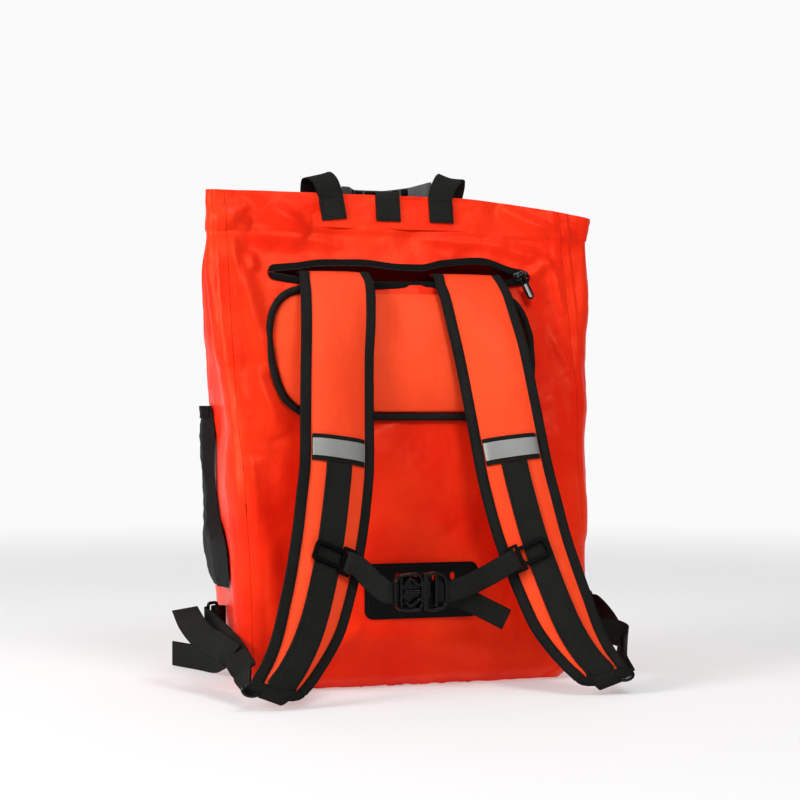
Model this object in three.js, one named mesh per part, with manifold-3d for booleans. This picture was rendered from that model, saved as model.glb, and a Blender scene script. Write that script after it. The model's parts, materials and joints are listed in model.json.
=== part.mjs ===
// A soft roll-top messenger backpack, unrolled and standing on its base.
// Millimetres, +Z up. The harness faces -Y, and the origin is the middle of the base, on the floor.

import * as THREE from 'three';
import { mergeVertices } from 'three/addons/utils/BufferGeometryUtils.js';
import Module from 'manifold-3d';

// Bag
const bagHeight = 474;
const bagHalfWidth = 197;
const backReach = 98;
const frontReach = 78;
const cornerRadius = 24;
const mouthLean = 10;
const seamHalfWidth = 172;
const panelCrown = 5;
const gussetFold = 7;
const wall = 1.6;
const baseThickness = 1.8;
const mouthDroop = 16;
const droopStart = 85;
const weldHeight = 434;
const gap = 0.3;

// Stow slit and its zip
const slitHeight = 394;
const slitHalfWidth = 134;
const slitGape = 16;
const tapeWidth = 7;
const tapeThickness = 2;
const linerDepth = 14;
const linerHalfWidth = 148;
const linerRise = 32;
const linerFall = 68;
const linerThickness = 1.2;
const sliderLength = 12;
const sliderWidth = 9;
const sliderHeight = 2.6;
const sliderTilt = 20;
const pinRadius = 1.2;
const pinLift = 6;
const pullWidth = 7.4;
const pullLength = 27;
const pullThickness = 2.2;
const pullBarrel = 2.7;

// Back pad, its piping and the lumbar patch
const padHalfWidth = 122;
const padDrop = 18;
const padHeight = 117;
const padCorner = 36;
const padThickness = 13;
const padEdge = 5;
const pipingWidth = 7;
const pipingThickness = 7;
const patchHalfWidth = 56;
const patchBottom = 66;
const patchHeight = 52;
const patchCorner = 8;
const patchThickness = 2;
const slotSpacing = 18;
const slotCount = 5;
const slotWidth = 5;
const slotHeight = 8;
const slotDrop = 13;

// Mouth tabs and handle
const webbing = 25;
const webbingThickness = 1.6;
const tabSpacing = 55;
const tabMiddle = -9;
const tabSewn = 24;
const tabDrop = 26;
const tabLoop = 18;
const tabPatchHalfWidth = 86;
const tabPatchMiddle = -5;
const tabPatchHeight = 30;
const tabPatchBottom = 440;
const handleHalfLength = 48;
const handleWidth = 28;
const handleThickness = 4;
const handleBow = 24;
const handleMiddle = -2;
const handleLift = 10;
const handleRise = 8;

// Shoulder straps
const strapTopOffset = 68;
const strapFlareLeft = 94;
const strapFlareRight = 81;
const strapReach = 100;
const strapHalfWidth = 37;
const strapHalfThickness = 5;
const strapToe = 10;
const bindingWidth = 10;
const bindingThickness = 1.1;
const bindingEdge = 1.6;
const endCapLength = 11;
const crossbandHeight = 24;
const crossbandThickness = 1.2;
const reflectorHeight = 16;
const reflectorThickness = 0.6;

// Sternum strap
const sternumWebbing = 20;
const sternumThickness = 1.4;
const glideLength = 31;
const glideWidth = 19;
const glideRim = 3.6;
const glideThickness = 3;
const glideTurnLeft = 7;
const glideTurnRight = -8;
const glideShiftRight = -6;
const sternumPin = 1.5;
const buckleLength = 48;
const buckleWidth = 36;
const buckleThickness = 8;
const buckleHeight = 97;
const buckleOffset = -21;
const buckleStandOff = 62;
const sternumTailLength = 72;

// Lower adjusters
const anchorHeight = 62;
const anchorSetBack = 18;
const anchorTabLeft = 9;
const anchorTabRight = 27;
const ringWire = 1.7;
const ringWidth = 11;
const lockLength = 11;
const lockWidth = 32;
const lockThickness = 5;
const lockOffsetLeft = 20;
const lockOffsetRight = 17;
const floorTailLength = 112;
const curlReach = 79;

// Mesh pocket on the left side
const pocketTop = 266;
const pocketBottom = 96;
const pocketFront = -46;
const pocketBack = 44;
const pocketBulge = 13;
const pocketWall = 1.4;
const pocketHem = 12;

// Depth of the bag by height, each value a share of the size it is named after.
const bagDepths = [
  { up: 0.000, back: 0.860, front: 0.850, corner: 0.75, crown: 0.0 },
  { up: 0.030, back: 0.960, front: 0.950, corner: 1.00, crown: 0.4 },
  { up: 0.084, back: 0.990, front: 0.990, corner: 1.00, crown: 0.8 },
  { up: 0.169, back: 1.000, front: 1.000, corner: 1.00, crown: 1.0 },
  { up: 0.275, back: 0.980, front: 0.970, corner: 1.00, crown: 1.0 },
  { up: 0.422, back: 0.880, front: 0.850, corner: 0.92, crown: 1.0 },
  { up: 0.527, back: 0.775, front: 0.720, corner: 0.83, crown: 0.8 },
  { up: 0.633, back: 0.633, front: 0.580, corner: 0.75, crown: 0.6 },
  { up: 0.738, back: 0.490, front: 0.410, corner: 0.62, crown: 0.4 },
  { up: 0.833, back: 0.367, front: 0.230, corner: 0.50, crown: 0.2 },
  { up: 0.916, back: 0.245, front: 0.065, corner: 0.33, crown: 0.0 },
  { up: 1.000, back: 0.163, front: -0.050, corner: 0.24, crown: 0.0 },
];

// Width of the bag by height, on its harness side and on its outer side, with the lean to the right,
// the place of the side seams and the inward fold of the side panels.
const bagWidths = [
  { up: 0.000, backHalf: 0.772, frontHalf: 0.721, lean: 0.00, seam: 0.800, fold: 0.0 },
  { up: 0.030, backHalf: 0.843, frontHalf: 0.777, lean: 0.00, seam: 0.890, fold: 0.0 },
  { up: 0.084, backHalf: 0.873, frontHalf: 0.812, lean: 0.00, seam: 0.930, fold: 0.0 },
  { up: 0.169, backHalf: 0.888, frontHalf: 0.832, lean: 0.00, seam: 0.940, fold: 0.0 },
  { up: 0.275, backHalf: 0.898, frontHalf: 0.843, lean: 0.00, seam: 0.950, fold: 0.0 },
  { up: 0.422, backHalf: 0.919, frontHalf: 0.873, lean: 0.10, seam: 0.965, fold: 0.1 },
  { up: 0.527, backHalf: 0.925, frontHalf: 0.893, lean: 0.32, seam: 0.985, fold: 0.4 },
  { up: 0.633, backHalf: 0.948, frontHalf: 0.924, lean: 0.25, seam: 0.995, fold: 0.8 },
  { up: 0.738, backHalf: 0.980, frontHalf: 0.954, lean: 0.40, seam: 1.000, fold: 1.0 },
  { up: 0.833, backHalf: 1.000, frontHalf: 0.975, lean: 0.53, seam: 1.000, fold: 0.7 },
  { up: 0.916, backHalf: 1.000, frontHalf: 0.990, lean: 0.80, seam: 1.000, fold: 0.1 },
  { up: 1.000, backHalf: 1.000, frontHalf: 1.000, lean: 0.90, seam: 1.000, fold: 0.0 },
];

// Edges of the slit along its length: the rise of the upper lip and the sag of the lower one,
// as shares of the gape.
const slitLips = [
  { across: -1.00, rise: 0.00, sag: 0.00 },
  { across: -0.80, rise: 0.16, sag: 0.22 },
  { across: -0.60, rise: 0.41, sag: 0.34 },
  { across: -0.30, rise: 0.47, sag: 0.47 },
  { across: 0.00, rise: 0.25, sag: 0.44 },
  { across: 0.15, rise: 0.25, sag: 0.41 },
  { across: 0.32, rise: 0.56, sag: 0.38 },
  { across: 0.62, rise: 0.78, sag: 0.25 },
  { across: 0.88, rise: 0.16, sag: 0.09 },
  { across: 1.00, rise: 0.00, sag: 0.00 },
];

// Hang of a shoulder strap from the slit down: shares of the slit's height, the sideways flare, the reach
// away from the back panel, and the strap's full width and thickness.
const strapHang = [
  { drop: 0.022, flare: 0.00, out: 0.08, width: 1.00, thick: 0.45, toe: 0.0 },
  { drop: 0.055, flare: 0.02, out: 0.16, width: 1.00, thick: 0.60, toe: 0.2 },
  { drop: 0.112, flare: 0.05, out: 0.215, width: 1.00, thick: 0.90, toe: 0.5 },
  { drop: 0.195, flare: 0.10, out: 0.26, width: 1.00, thick: 1.00, toe: 1.0 },
  { drop: 0.340, flare: 0.16, out: 0.29, width: 1.00, thick: 1.00, toe: 1.0 },
  { drop: 0.467, flare: 0.21, out: 0.34, width: 1.00, thick: 1.00, toe: 1.0 },
  { drop: 0.549, flare: 0.27, out: 0.38, width: 1.00, thick: 1.00, toe: 1.0 },
  { drop: 0.638, flare: 0.35, out: 0.44, width: 0.98, thick: 1.00, toe: 1.0 },
  { drop: 0.714, flare: 0.44, out: 0.53, width: 0.95, thick: 1.00, toe: 1.0 },
  { drop: 0.805, flare: 0.57, out: 0.65, width: 0.91, thick: 0.95, toe: 1.0 },
  { drop: 0.858, flare: 0.67, out: 0.73, width: 0.88, thick: 0.90, toe: 1.0 },
  { drop: 0.904, flare: 0.79, out: 0.82, width: 0.86, thick: 0.85, toe: 1.0 },
  { drop: 0.933, flare: 0.89, out: 0.90, width: 0.82, thick: 0.80, toe: 1.0 },
];
const crossbandDrop = 0.432;
const glideDrop = 0.672;

// Front edge and bulge of the mesh pocket by height, as shares of its depth and of its bulge.
const pocketShape = [
  { up: 0.00, front: 0.30, bulge: 0.0 },
  { up: 0.10, front: 0.04, bulge: 0.6 },
  { up: 0.22, front: 0.00, bulge: 1.0 },
  { up: 0.36, front: 0.40, bulge: 0.9 },
  { up: 0.50, front: 0.62, bulge: 0.7 },
  { up: 0.66, front: 0.66, bulge: 0.75 },
  { up: 0.82, front: 0.66, bulge: 0.9 },
  { up: 0.93, front: 0.72, bulge: 0.65 },
  { up: 1.00, front: 0.76, bulge: 0.6 },
];

const clothRed = new THREE.Color(0xe8401c);
const linerRed = new THREE.Color(0x9a1810);
const webBlack = new THREE.Color(0x1c1c1b);
const plasticBlack = new THREE.Color(0x141414);
const stripGrey = new THREE.Color(0x8d928c);
const pullGrey = new THREE.Color(0x6f7478);
const gripGrey = new THREE.Color(0x3d3e40);

const finishes = {
  cloth: { color: clothRed, roughness: 0.45, metalness: 0 },
  liner: { color: linerRed, roughness: 0.6, metalness: 0 },
  web: { color: webBlack, roughness: 0.8, metalness: 0 },
  plastic: { color: plasticBlack, roughness: 0.3, metalness: 0 },
  strip: { color: stripGrey, roughness: 0.5, metalness: 0.2 },
  metal: { color: pullGrey, roughness: 0.35, metalness: 0.8 },
  grip: { color: gripGrey, roughness: 0.6, metalness: 0 },
};

const wasm = await Module();
wasm.setup();

const bag = new THREE.Group();

function add(name, geometry, finish) {
  const mesh = new THREE.Mesh(geometry, new THREE.MeshStandardMaterial(finishes[finish]));
  mesh.name = name;
  bag.add(mesh);
}

function vec(x, y, z) {
  return new THREE.Vector3(x, y, z);
}

function radians(degrees) {
  return degrees * Math.PI / 180;
}

function spread(from, to, count) {
  return Array.from({ length: count + 1 }, (_, i) => from + (to - from) * i / count);
}

// Reads a table of rows at a position along one column.
function read(rows, along, at) {
  if (at <= rows[0][along]) {
    return rows[0];
  }
  for (let i = 1; i < rows.length; i += 1) {
    const low = rows[i - 1];
    const high = rows[i];
    if (at <= high[along]) {
      const part = (at - low[along]) / (high[along] - low[along]);
      const row = {};
      for (const column of Object.keys(low)) {
        row[column] = low[column] + (high[column] - low[column]) * part;
      }
      return row;
    }
  }
  return rows[rows.length - 1];
}

// A closed body from its points and triangles, turned so that its faces point out.
function solid(points, faces) {
  let volume = 0;
  for (const [a, b, c] of faces) {
    volume += points[a].dot(points[b].clone().cross(points[c]));
  }
  const index = [];
  for (const [a, b, c] of faces) {
    if (volume > 0) {
      index.push(a, b, c);
    } else {
      index.push(a, c, b);
    }
  }
  const geometry = new THREE.BufferGeometry();
  const flat = points.flatMap((point) => [point.x, point.y, point.z]);
  geometry.setAttribute('position', new THREE.Float32BufferAttribute(flat, 3));
  geometry.setIndex(index);
  return geometry;
}

// A thick sheet between two grids of points with the same rows and columns.
function sheet(outer, inner) {
  const rows = outer.length;
  const columns = outer[0].length;
  const points = [...outer.flat(), ...inner.flat()];
  const half = rows * columns;
  const faces = [];
  const quad = (a, b, c, d) => {
    faces.push([a, b, c], [a, c, d]);
  };
  for (let i = 0; i + 1 < rows; i += 1) {
    for (let j = 0; j + 1 < columns; j += 1) {
      const a = i * columns + j;
      const c = a + columns;
      quad(a, a + 1, c + 1, c);
      quad(half + a, half + c, half + c + 1, half + a + 1);
    }
    const left = i * columns;
    const right = left + columns - 1;
    quad(left, left + columns, half + left + columns, half + left);
    quad(right, half + right, half + right + columns, right + columns);
  }
  for (let j = 0; j + 1 < columns; j += 1) {
    const top = (rows - 1) * columns + j;
    quad(j, half + j, half + j + 1, j + 1);
    quad(top, top + 1, half + top + 1, half + top);
  }
  return solid(points, faces);
}

// A body swept through stations { p, w, n }; profileAt gives the section in (w, n) at each of them.
function sweep(stations, profileAt, closed = false) {
  const profiles = stations.map((station, i) => profileAt(station, i));
  const count = profiles[0].length;
  const points = [];
  stations.forEach((station, i) => {
    for (const [across, off] of profiles[i]) {
      points.push(station.p.clone().addScaledVector(station.w, across).addScaledVector(station.n, off));
    }
  });
  const faces = [];
  const rings = stations.length;
  const last = closed ? rings : rings - 1;
  for (let i = 0; i < last; i += 1) {
    const from = i * count;
    const to = ((i + 1) % rings) * count;
    for (let k = 0; k < count; k += 1) {
      const next = (k + 1) % count;
      // Upper and lower faces share their diagonals, so that a twisted strip keeps its thickness.
      if (profiles[i][next][0] >= profiles[i][k][0]) {
        faces.push([from + k, from + next, to + next], [from + k, to + next, to + k]);
      } else {
        faces.push([from + k, from + next, to + k], [from + next, to + next, to + k]);
      }
    }
  }
  if (!closed) {
    const end = (rings - 1) * count;
    const flat = (profile) => profile.map(([across, off]) => new THREE.Vector2(across, off));
    for (const [a, b, c] of THREE.ShapeUtils.triangulateShape(flat(profiles[0]), [])) {
      faces.push([a, c, b]);
    }
    for (const [a, b, c] of THREE.ShapeUtils.triangulateShape(flat(profiles[rings - 1]), [])) {
      faces.push([end + a, end + b, end + c]);
    }
    // The caps follow the sense of the first profile.
    if (THREE.ShapeUtils.area(flat(profiles[0])) < 0) {
      for (const face of faces.slice(-2 * (count - 2))) {
        face.reverse();
      }
    }
  }
  return solid(points, faces);
}

function box(width, thickness) {
  return [[-width / 2, -thickness / 2], [width / 2, -thickness / 2], [width / 2, thickness / 2],
    [-width / 2, thickness / 2]];
}

function round(radius, sides) {
  const points = [];
  for (let i = 0; i < sides; i += 1) {
    const angle = 2 * Math.PI * (i + 0.5) / sides;
    points.push([radius * Math.cos(angle), radius * Math.sin(angle)]);
  }
  return points;
}

// Stations along a route; each row is { p, w }, and w is squared up to the route.
function stationsAlong(route, closed = false) {
  const count = route.length;
  return route.map((row, i) => {
    const before = route[closed ? (i + count - 1) % count : Math.max(i - 1, 0)].p;
    const after = route[closed ? (i + 1) % count : Math.min(i + 1, count - 1)].p;
    const along = after.clone().sub(before).normalize();
    const n = along.clone().cross(row.w).normalize();
    const w = n.clone().cross(along).normalize();
    return { ...row, t: along, w, n };
  });
}

function ribbon(route, width, thickness) {
  return sweep(stationsAlong(route), () => box(width, thickness));
}

// Points of a smooth route through a few chosen ones, with their width directions carried along.
function smoothRoute(route, steps) {
  const path = new THREE.CatmullRomCurve3(route.map((row) => row.p), false, 'centripetal');
  const sides = new THREE.CatmullRomCurve3(route.map((row) => row.w), false, 'centripetal');
  const rows = [];
  for (let i = 0; i <= steps; i += 1) {
    rows.push({ p: path.getPoint(i / steps), w: sides.getPoint(i / steps).normalize() });
  }
  return rows;
}

function toManifold(geometry) {
  const bare = geometry.clone();
  bare.deleteAttribute('normal');
  bare.deleteAttribute('uv');
  const merged = mergeVertices(bare, 1e-5);
  return new wasm.Manifold(new wasm.Mesh({
    numProp: 3,
    vertProperties: new Float32Array(merged.attributes.position.array),
    triVerts: new Uint32Array(merged.index.array),
  }));
}

function fromManifold(manifold) {
  const mesh = manifold.getMesh();
  const geometry = new THREE.BufferGeometry();
  geometry.setAttribute('position', new THREE.BufferAttribute(mesh.vertProperties, 3));
  geometry.setIndex(new THREE.BufferAttribute(mesh.triVerts, 1));
  return geometry;
}

function join(...geometries) {
  return fromManifold(geometries.map(toManifold).reduce((whole, piece) => whole.add(piece)));
}

function cut(geometry, ...tools) {
  let left = toManifold(geometry);
  for (const tool of tools) {
    left = left.subtract(toManifold(tool));
  }
  return fromManifold(left);
}

// A plate from a flat outline, laid in a frame { p, w, t, n }: x along w, y along t, thickness along n.
function plate(shape, thickness, frame, curveSegments = 3) {
  const options = { depth: thickness, bevelEnabled: false, curveSegments };
  const geometry = new THREE.ExtrudeGeometry(shape, options);
  const basis = new THREE.Matrix4().makeBasis(frame.w, frame.t, frame.n);
  basis.setPosition(frame.p);
  geometry.applyMatrix4(basis);
  return geometry;
}

function roundedRectangle(target, width, height, radius) {
  const x = width / 2;
  const y = height / 2;
  target.moveTo(-x + radius, -y);
  target.lineTo(x - radius, -y);
  target.absarc(x - radius, -y + radius, radius, -Math.PI / 2, 0);
  target.lineTo(x, y - radius);
  target.absarc(x - radius, y - radius, radius, 0, Math.PI / 2);
  target.lineTo(-x + radius, y);
  target.absarc(-x + radius, y - radius, radius, Math.PI / 2, Math.PI);
  target.lineTo(-x, -y + radius);
  target.absarc(-x + radius, -y + radius, radius, Math.PI, 1.5 * Math.PI);
  return target;
}

// The bag's section at a height, in millimetres.
function sectionAt(z) {
  const row = { ...read(bagDepths, 'up', z / bagHeight), ...read(bagWidths, 'up', z / bagHeight) };
  return {
    z,
    back: -row.back * backReach,
    front: row.front * frontReach,
    backHalf: row.backHalf * bagHalfWidth,
    frontHalf: row.frontHalf * bagHalfWidth,
    corner: row.corner * cornerRadius,
    lean: row.lean * mouthLean,
    seam: row.seam * seamHalfWidth,
    crown: row.crown * panelCrown,
    fold: row.fold * gussetFold,
  };
}

// Half of the section's outline on one side, from the middle of the back to the middle of the front.
function halfLoop(section, side) {
  const { back, front, backHalf, frontHalf, corner, lean, seam, crown, fold } = section;
  const points = [];
  const flatEnd = backHalf - corner + side * lean;
  const put = (x, y) => points.push(vec(side * x, y, section.z));
  const steps = 10;
  for (let i = 0; i <= steps; i += 1) {
    const x = flatEnd * i / steps;
    const bend = Math.max(0, 1 - (x / seam) ** 2);
    put(x, back - crown * bend);
  }
  for (let i = 1; i <= steps; i += 1) {
    const angle = Math.PI / 2 * i / steps;
    put(flatEnd + corner * Math.sin(angle), back + corner * (1 - Math.cos(angle)));
  }
  const frontFlat = frontHalf - corner + side * lean;
  for (let i = 1; i < steps; i += 1) {
    const part = i / steps;
    const x = (flatEnd + (frontFlat - flatEnd) * part) + corner - fold * Math.sin(Math.PI * part) ** 2;
    put(x, back + corner + (front - back - 2 * corner) * part);
  }
  for (let i = 0; i <= steps; i += 1) {
    const angle = Math.PI / 2 * i / steps;
    put(frontFlat + corner * Math.cos(angle), front - corner * (1 - Math.sin(angle)));
  }
  for (let i = 1; i <= steps; i += 1) {
    put(frontFlat * (1 - i / steps), front);
  }
  return points;
}

function lengthsOf(points) {
  const lengths = [0];
  for (let i = 1; i < points.length; i += 1) {
    lengths.push(lengths[i - 1] + points[i].distanceTo(points[i - 1]));
  }
  return lengths;
}

// The point at a distance along a half outline, with the direction into the bag.
function loopAt(loop, lengths, distance, side) {
  let i = 1;
  while (i < loop.length - 1 && lengths[i] < distance) {
    i += 1;
  }
  const part = (distance - lengths[i - 1]) / (lengths[i] - lengths[i - 1]);
  const along = loop[i].clone().sub(loop[i - 1]).normalize();
  return {
    p: loop[i - 1].clone().lerp(loop[i], part),
    inward: vec(-along.y * side, along.x * side, 0),
  };
}

// Distances along a half outline at which the columns of each panel stand.
function marksOf(section, loop, lengths) {
  let i = 1;
  while (Math.abs(loop[i].x) < section.seam) {
    i += 1;
  }
  const reach = Math.abs(loop[i].x) - Math.abs(loop[i - 1].x);
  const part = (section.seam - Math.abs(loop[i - 1].x)) / reach;
  const seam = lengths[i - 1] + part * (lengths[i] - lengths[i - 1]);
  const [sideStart, sideEnd, frontSeam, frontFlat, middle] = [20, 30, 35, 40, 50].map((at) => lengths[at]);
  return {
    back: spread(0, seam - gap / 2, 7),
    side: [
      ...spread(seam + gap / 2, sideStart, 4),
      ...spread(sideStart, sideEnd, 4).slice(1),
      ...spread(sideEnd, frontSeam - gap / 2, 2).slice(1),
    ],
    front: [
      ...spread(frontSeam + gap / 2, frontFlat, 2),
      ...spread(frontFlat, middle, 4).slice(1),
    ],
  };
}

// The right end of the mouth droops, from the hem weld up.
function drooped(point) {
  const across = Math.max(0, point.x - droopStart) / (bagHalfWidth + mouthLean - droopStart);
  const up = Math.max(0, point.z - weldHeight) / (bagHeight - weldHeight);
  return vec(point.x, point.y, point.z - mouthDroop * across * up);
}

const shellHeights = bagDepths.map((row) => row.up * bagHeight);

// A panel of the shell: for each height, the distances along its stretch of the outline.
function panel(columnsAt) {
  const outer = [];
  const inner = [];
  for (const z of shellHeights) {
    const columns = columnsAt(sectionAt(z));
    outer.push(columns.map((column) => drooped(column.p)));
    inner.push(columns.map((column) => drooped(column.p.clone().addScaledVector(column.inward, wall))));
  }
  return sheet(outer, inner);
}

function stretch(section, side, panelName) {
  const loop = halfLoop(section, side);
  const lengths = lengthsOf(loop);
  return marksOf(section, loop, lengths)[panelName].map((distance) => loopAt(loop, lengths, distance, side));
}

function backColumns(section) {
  return [...stretch(section, -1, 'back').reverse(), ...stretch(section, 1, 'back').slice(1)];
}

function frontColumns(section) {
  return [...stretch(section, -1, 'front'), ...stretch(section, 1, 'front').reverse().slice(1)];
}

function sideColumns(side) {
  return (section) => stretch(section, side, 'side');
}

// The outer face of the back panel: depth at (x, z), and a point at a distance off that face.
function backFace(x, z) {
  const section = sectionAt(z);
  const side = x < 0 ? -1 : 1;
  const flatEnd = section.backHalf - section.corner + side * section.lean;
  const bend = Math.max(0, 1 - (x / section.seam) ** 2);
  const beyond = Math.min(Math.max(0, Math.abs(x) - flatEnd), section.corner);
  const turn = section.corner - Math.sqrt(section.corner ** 2 - beyond ** 2);
  return section.back - section.crown * bend + turn;
}

function onBack(x, z, off) {
  return vec(x, backFace(x, z) - off, z);
}

// The outer face of a side panel, at a depth and height.
function sideFace(side, y, z) {
  const section = sectionAt(z);
  const low = section.back + section.corner;
  const high = section.front - section.corner;
  const part = Math.min(1, Math.max(0, (y - low) / (high - low)));
  const half = section.backHalf + (section.frontHalf - section.backHalf) * part;
  return side * (half - section.fold * Math.sin(Math.PI * part) ** 2) + section.lean;
}

// The two lips of the stow slit, as heights at a place along it.
function upperLip(x) {
  const rise = read(slitLips, 'across', x / slitHalfWidth).rise;
  return slitHeight + (tapeWidth + gap) / 2 + rise * slitGape;
}

function lowerLip(x) {
  const sag = read(slitLips, 'across', x / slitHalfWidth).sag;
  return slitHeight - (tapeWidth + gap) / 2 - sag * slitGape;
}

function slitCutter() {
  const shape = new THREE.Shape();
  const places = slitLips.map((row) => row.across * (slitHalfWidth - tapeWidth));
  shape.moveTo(places[0], upperLip(places[0]) - gap);
  for (const x of places.slice(1)) {
    shape.lineTo(x, upperLip(x) - gap);
  }
  for (const x of [...places].reverse()) {
    shape.lineTo(x, lowerLip(x) + gap);
  }
  const depth = backReach + wall;
  const frame = { p: vec(0, 0, 0), w: vec(1, 0, 0), t: vec(0, 0, 1), n: vec(0, -1, 0) };
  return plate(shape, depth, frame);
}

function makeShell() {
  add('back_panel', cut(panel(backColumns), slitCutter()), 'cloth');
  add('front_panel', panel(frontColumns), 'cloth');
  add('side_panel_left', panel(sideColumns(-1)), 'cloth');
  add('side_panel_right', panel(sideColumns(1)), 'cloth');
  const section = sectionAt(0);
  const rim = [1, -1].flatMap((side) => {
    const half = ['back', 'side', 'front'].flatMap((name) => stretch(section, side, name))
      .map((column) => column.p.clone().addScaledVector(column.inward, wall + gap));
    return side > 0 ? half : half.reverse().slice(1, -1);
  });
  const shape = new THREE.Shape(rim.map((point) => new THREE.Vector2(point.x, point.y)));
  const frame = { p: vec(0, 0, 0), w: vec(1, 0, 0), t: vec(0, 1, 0), n: vec(0, 0, 1) };
  add('base_panel', plate(shape, baseThickness, frame), 'cloth');
}

// Heights between two limits that also stop at every bend of the back panel.
function heightsBetween(low, high, most) {
  const bends = [low, ...shellHeights.filter((z) => z > low + 1 && z < high - 1), high];
  const heights = [low];
  for (let i = 1; i < bends.length; i += 1) {
    const parts = Math.max(1, Math.ceil((bends[i] - bends[i - 1]) / most));
    heights.push(...spread(bends[i - 1], bends[i], parts).slice(1));
  }
  return heights;
}

function makeLiner() {
  const linerTop = slitHeight + linerRise;
  const linerBottom = slitHeight - linerFall;
  const shelf = (share, edge) => Math.min(1, (1 - Math.abs(share)) / edge);
  const columns = [-1, -0.8, -0.4, 0, 0.4, 0.8, 1];
  const rows = heightsBetween(linerBottom, linerTop, 30);
  const middle = (linerTop + linerBottom) / 2;
  const halfHeight = (linerTop - linerBottom) / 2;
  const face = (off) => rows.map((z) => columns.map((share) => {
    const depth = linerDepth * shelf(share, 0.2) * shelf((z - middle) / halfHeight, 0.3);
    return onBack(share * linerHalfWidth, z, -(wall + 2 * gap + depth + off));
  }));
  add('stow_liner', sheet(face(0), face(linerThickness)), 'liner');
}

function makeTapes() {
  for (const [name, lip] of [['zip_tape_upper', upperLip], ['zip_tape_lower', lowerLip]]) {
    const stations = spread(-slitHalfWidth, slitHalfWidth, 16).map((x) => (
      { p: onBack(x, lip(x), gap + tapeThickness / 2), w: vec(0, 0, 1), n: vec(0, -1, 0) }));
    const lean = (station) => {
      const z = station.p.z;
      const over = backFace(station.p.x, z + tapeWidth / 2) - backFace(station.p.x, z);
      const under = backFace(station.p.x, z - tapeWidth / 2) - backFace(station.p.x, z);
      const half = tapeThickness / 2;
      const w = tapeWidth / 2;
      const inner = [[-w, -half - under], [0, -half], [w, -half - over]];
      return [...inner, [w, half - over], [0, half], [-w, half - under]];
    };
    add(name, sweep(stations, lean), 'web');
  }
}

// The frame of the zip slider: w across the bag, t up the panel, n off it.
function sliderFrame() {
  const x = slitHalfWidth - sliderLength;
  const low = onBack(x, slitHeight - sliderWidth, 0);
  const high = onBack(x, slitHeight + sliderWidth, 0);
  const up = high.clone().sub(low).normalize();
  const right = vec(1, 0, 0);
  const n = right.clone().cross(up);
  const turn = radians(sliderTilt);
  const w = right.clone().multiplyScalar(Math.cos(turn)).addScaledVector(up, Math.sin(turn));
  const t = up.clone().multiplyScalar(Math.cos(turn)).addScaledVector(right, -Math.sin(turn));
  const p = onBack(x, slitHeight, 0);
  return { p, w, t, n };
}

function makeZipSlider() {
  const frame = sliderFrame();
  const seat = tapeThickness + 2 * gap;
  const at = (across, up, off) => frame.p.clone()
    .addScaledVector(frame.w, across).addScaledVector(frame.t, up).addScaledVector(frame.n, off);
  const body = plate(roundedRectangle(new THREE.Shape(), sliderLength, sliderWidth, 2.5), sliderHeight,
    { ...frame, p: at(0, 0, seat) });
  const earThickness = 1.4;
  const earOffset = pullWidth / 2 + gap + earThickness / 2;
  const lift = seat + sliderHeight + pinLift / 2;
  const ears = [-1, 1].map((side) => plate(
    roundedRectangle(new THREE.Shape(), earThickness, 2 * pinRadius + 2, 0.4), pinLift / 2 + pinRadius + 1.4,
    { ...frame, p: at(side * earOffset, 0, seat + sliderHeight - 0.5) }, 1));
  const pin = sweep([-1, 1].map((side) => ({
    p: at(side * (earOffset + earThickness / 4), 0, lift), w: frame.t, n: frame.n,
  })), () => round(pinRadius, 10));
  add('zip_slider', join(body, ...ears, pin), 'metal');

  const half = pullThickness / 2;
  const neck = Math.sqrt(pullBarrel ** 2 - half ** 2);
  const shape = new THREE.Shape();
  shape.moveTo(-half, -pullLength);
  shape.lineTo(half, -pullLength);
  shape.lineTo(half, -neck);
  shape.absarc(0, 0, pullBarrel, Math.atan2(-neck, half), Math.atan2(-neck, -half) + 2 * Math.PI, false);
  const eye = new THREE.Path();
  eye.absarc(0, 0, pinRadius + gap, 0, 2 * Math.PI);
  shape.holes.push(eye);
  const hinge = { p: at(-pullWidth / 2, 0, lift), w: frame.n.clone().negate(), t: frame.t, n: frame.w };
  add('zip_pull', plate(shape, pullWidth, hinge, 5), 'metal');
}

// The pad hangs from the slit.
const padTop = slitHeight - padDrop;
const padBottom = padTop - padHeight;

// Half width of the pad at a height above its lower edge.
function padHalf(height) {
  if (height >= padCorner) {
    return padHalfWidth;
  }
  return padHalfWidth - padCorner + Math.sqrt(padCorner ** 2 - (padCorner - height) ** 2);
}

function makePad() {
  const lift = [0, 0.12, 0.35, 0.7].map((share) => padBottom + share * padCorner);
  const rows = [...lift, ...heightsBetween(padBottom + padCorner, padTop, 28)];
  const columns = [-1, -0.93, -0.75, -0.5, -0.25, 0, 0.25, 0.5, 0.75, 0.93, 1];
  const point = (share, z, off) => onBack(share * padHalf(z - padBottom), z, off);
  const face = (rise) => rows.map((z) => columns.map((share) => {
    const up = 2 * (z - padBottom) / (padTop - padBottom) - 1;
    const crown = (1 - share ** 4) * (1 - up ** 4);
    return point(share, z, gap + rise * (padEdge + (padThickness - padEdge) * crown));
  }));
  add('back_pad', sheet(face(1), face(0)), 'cloth');
}

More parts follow.
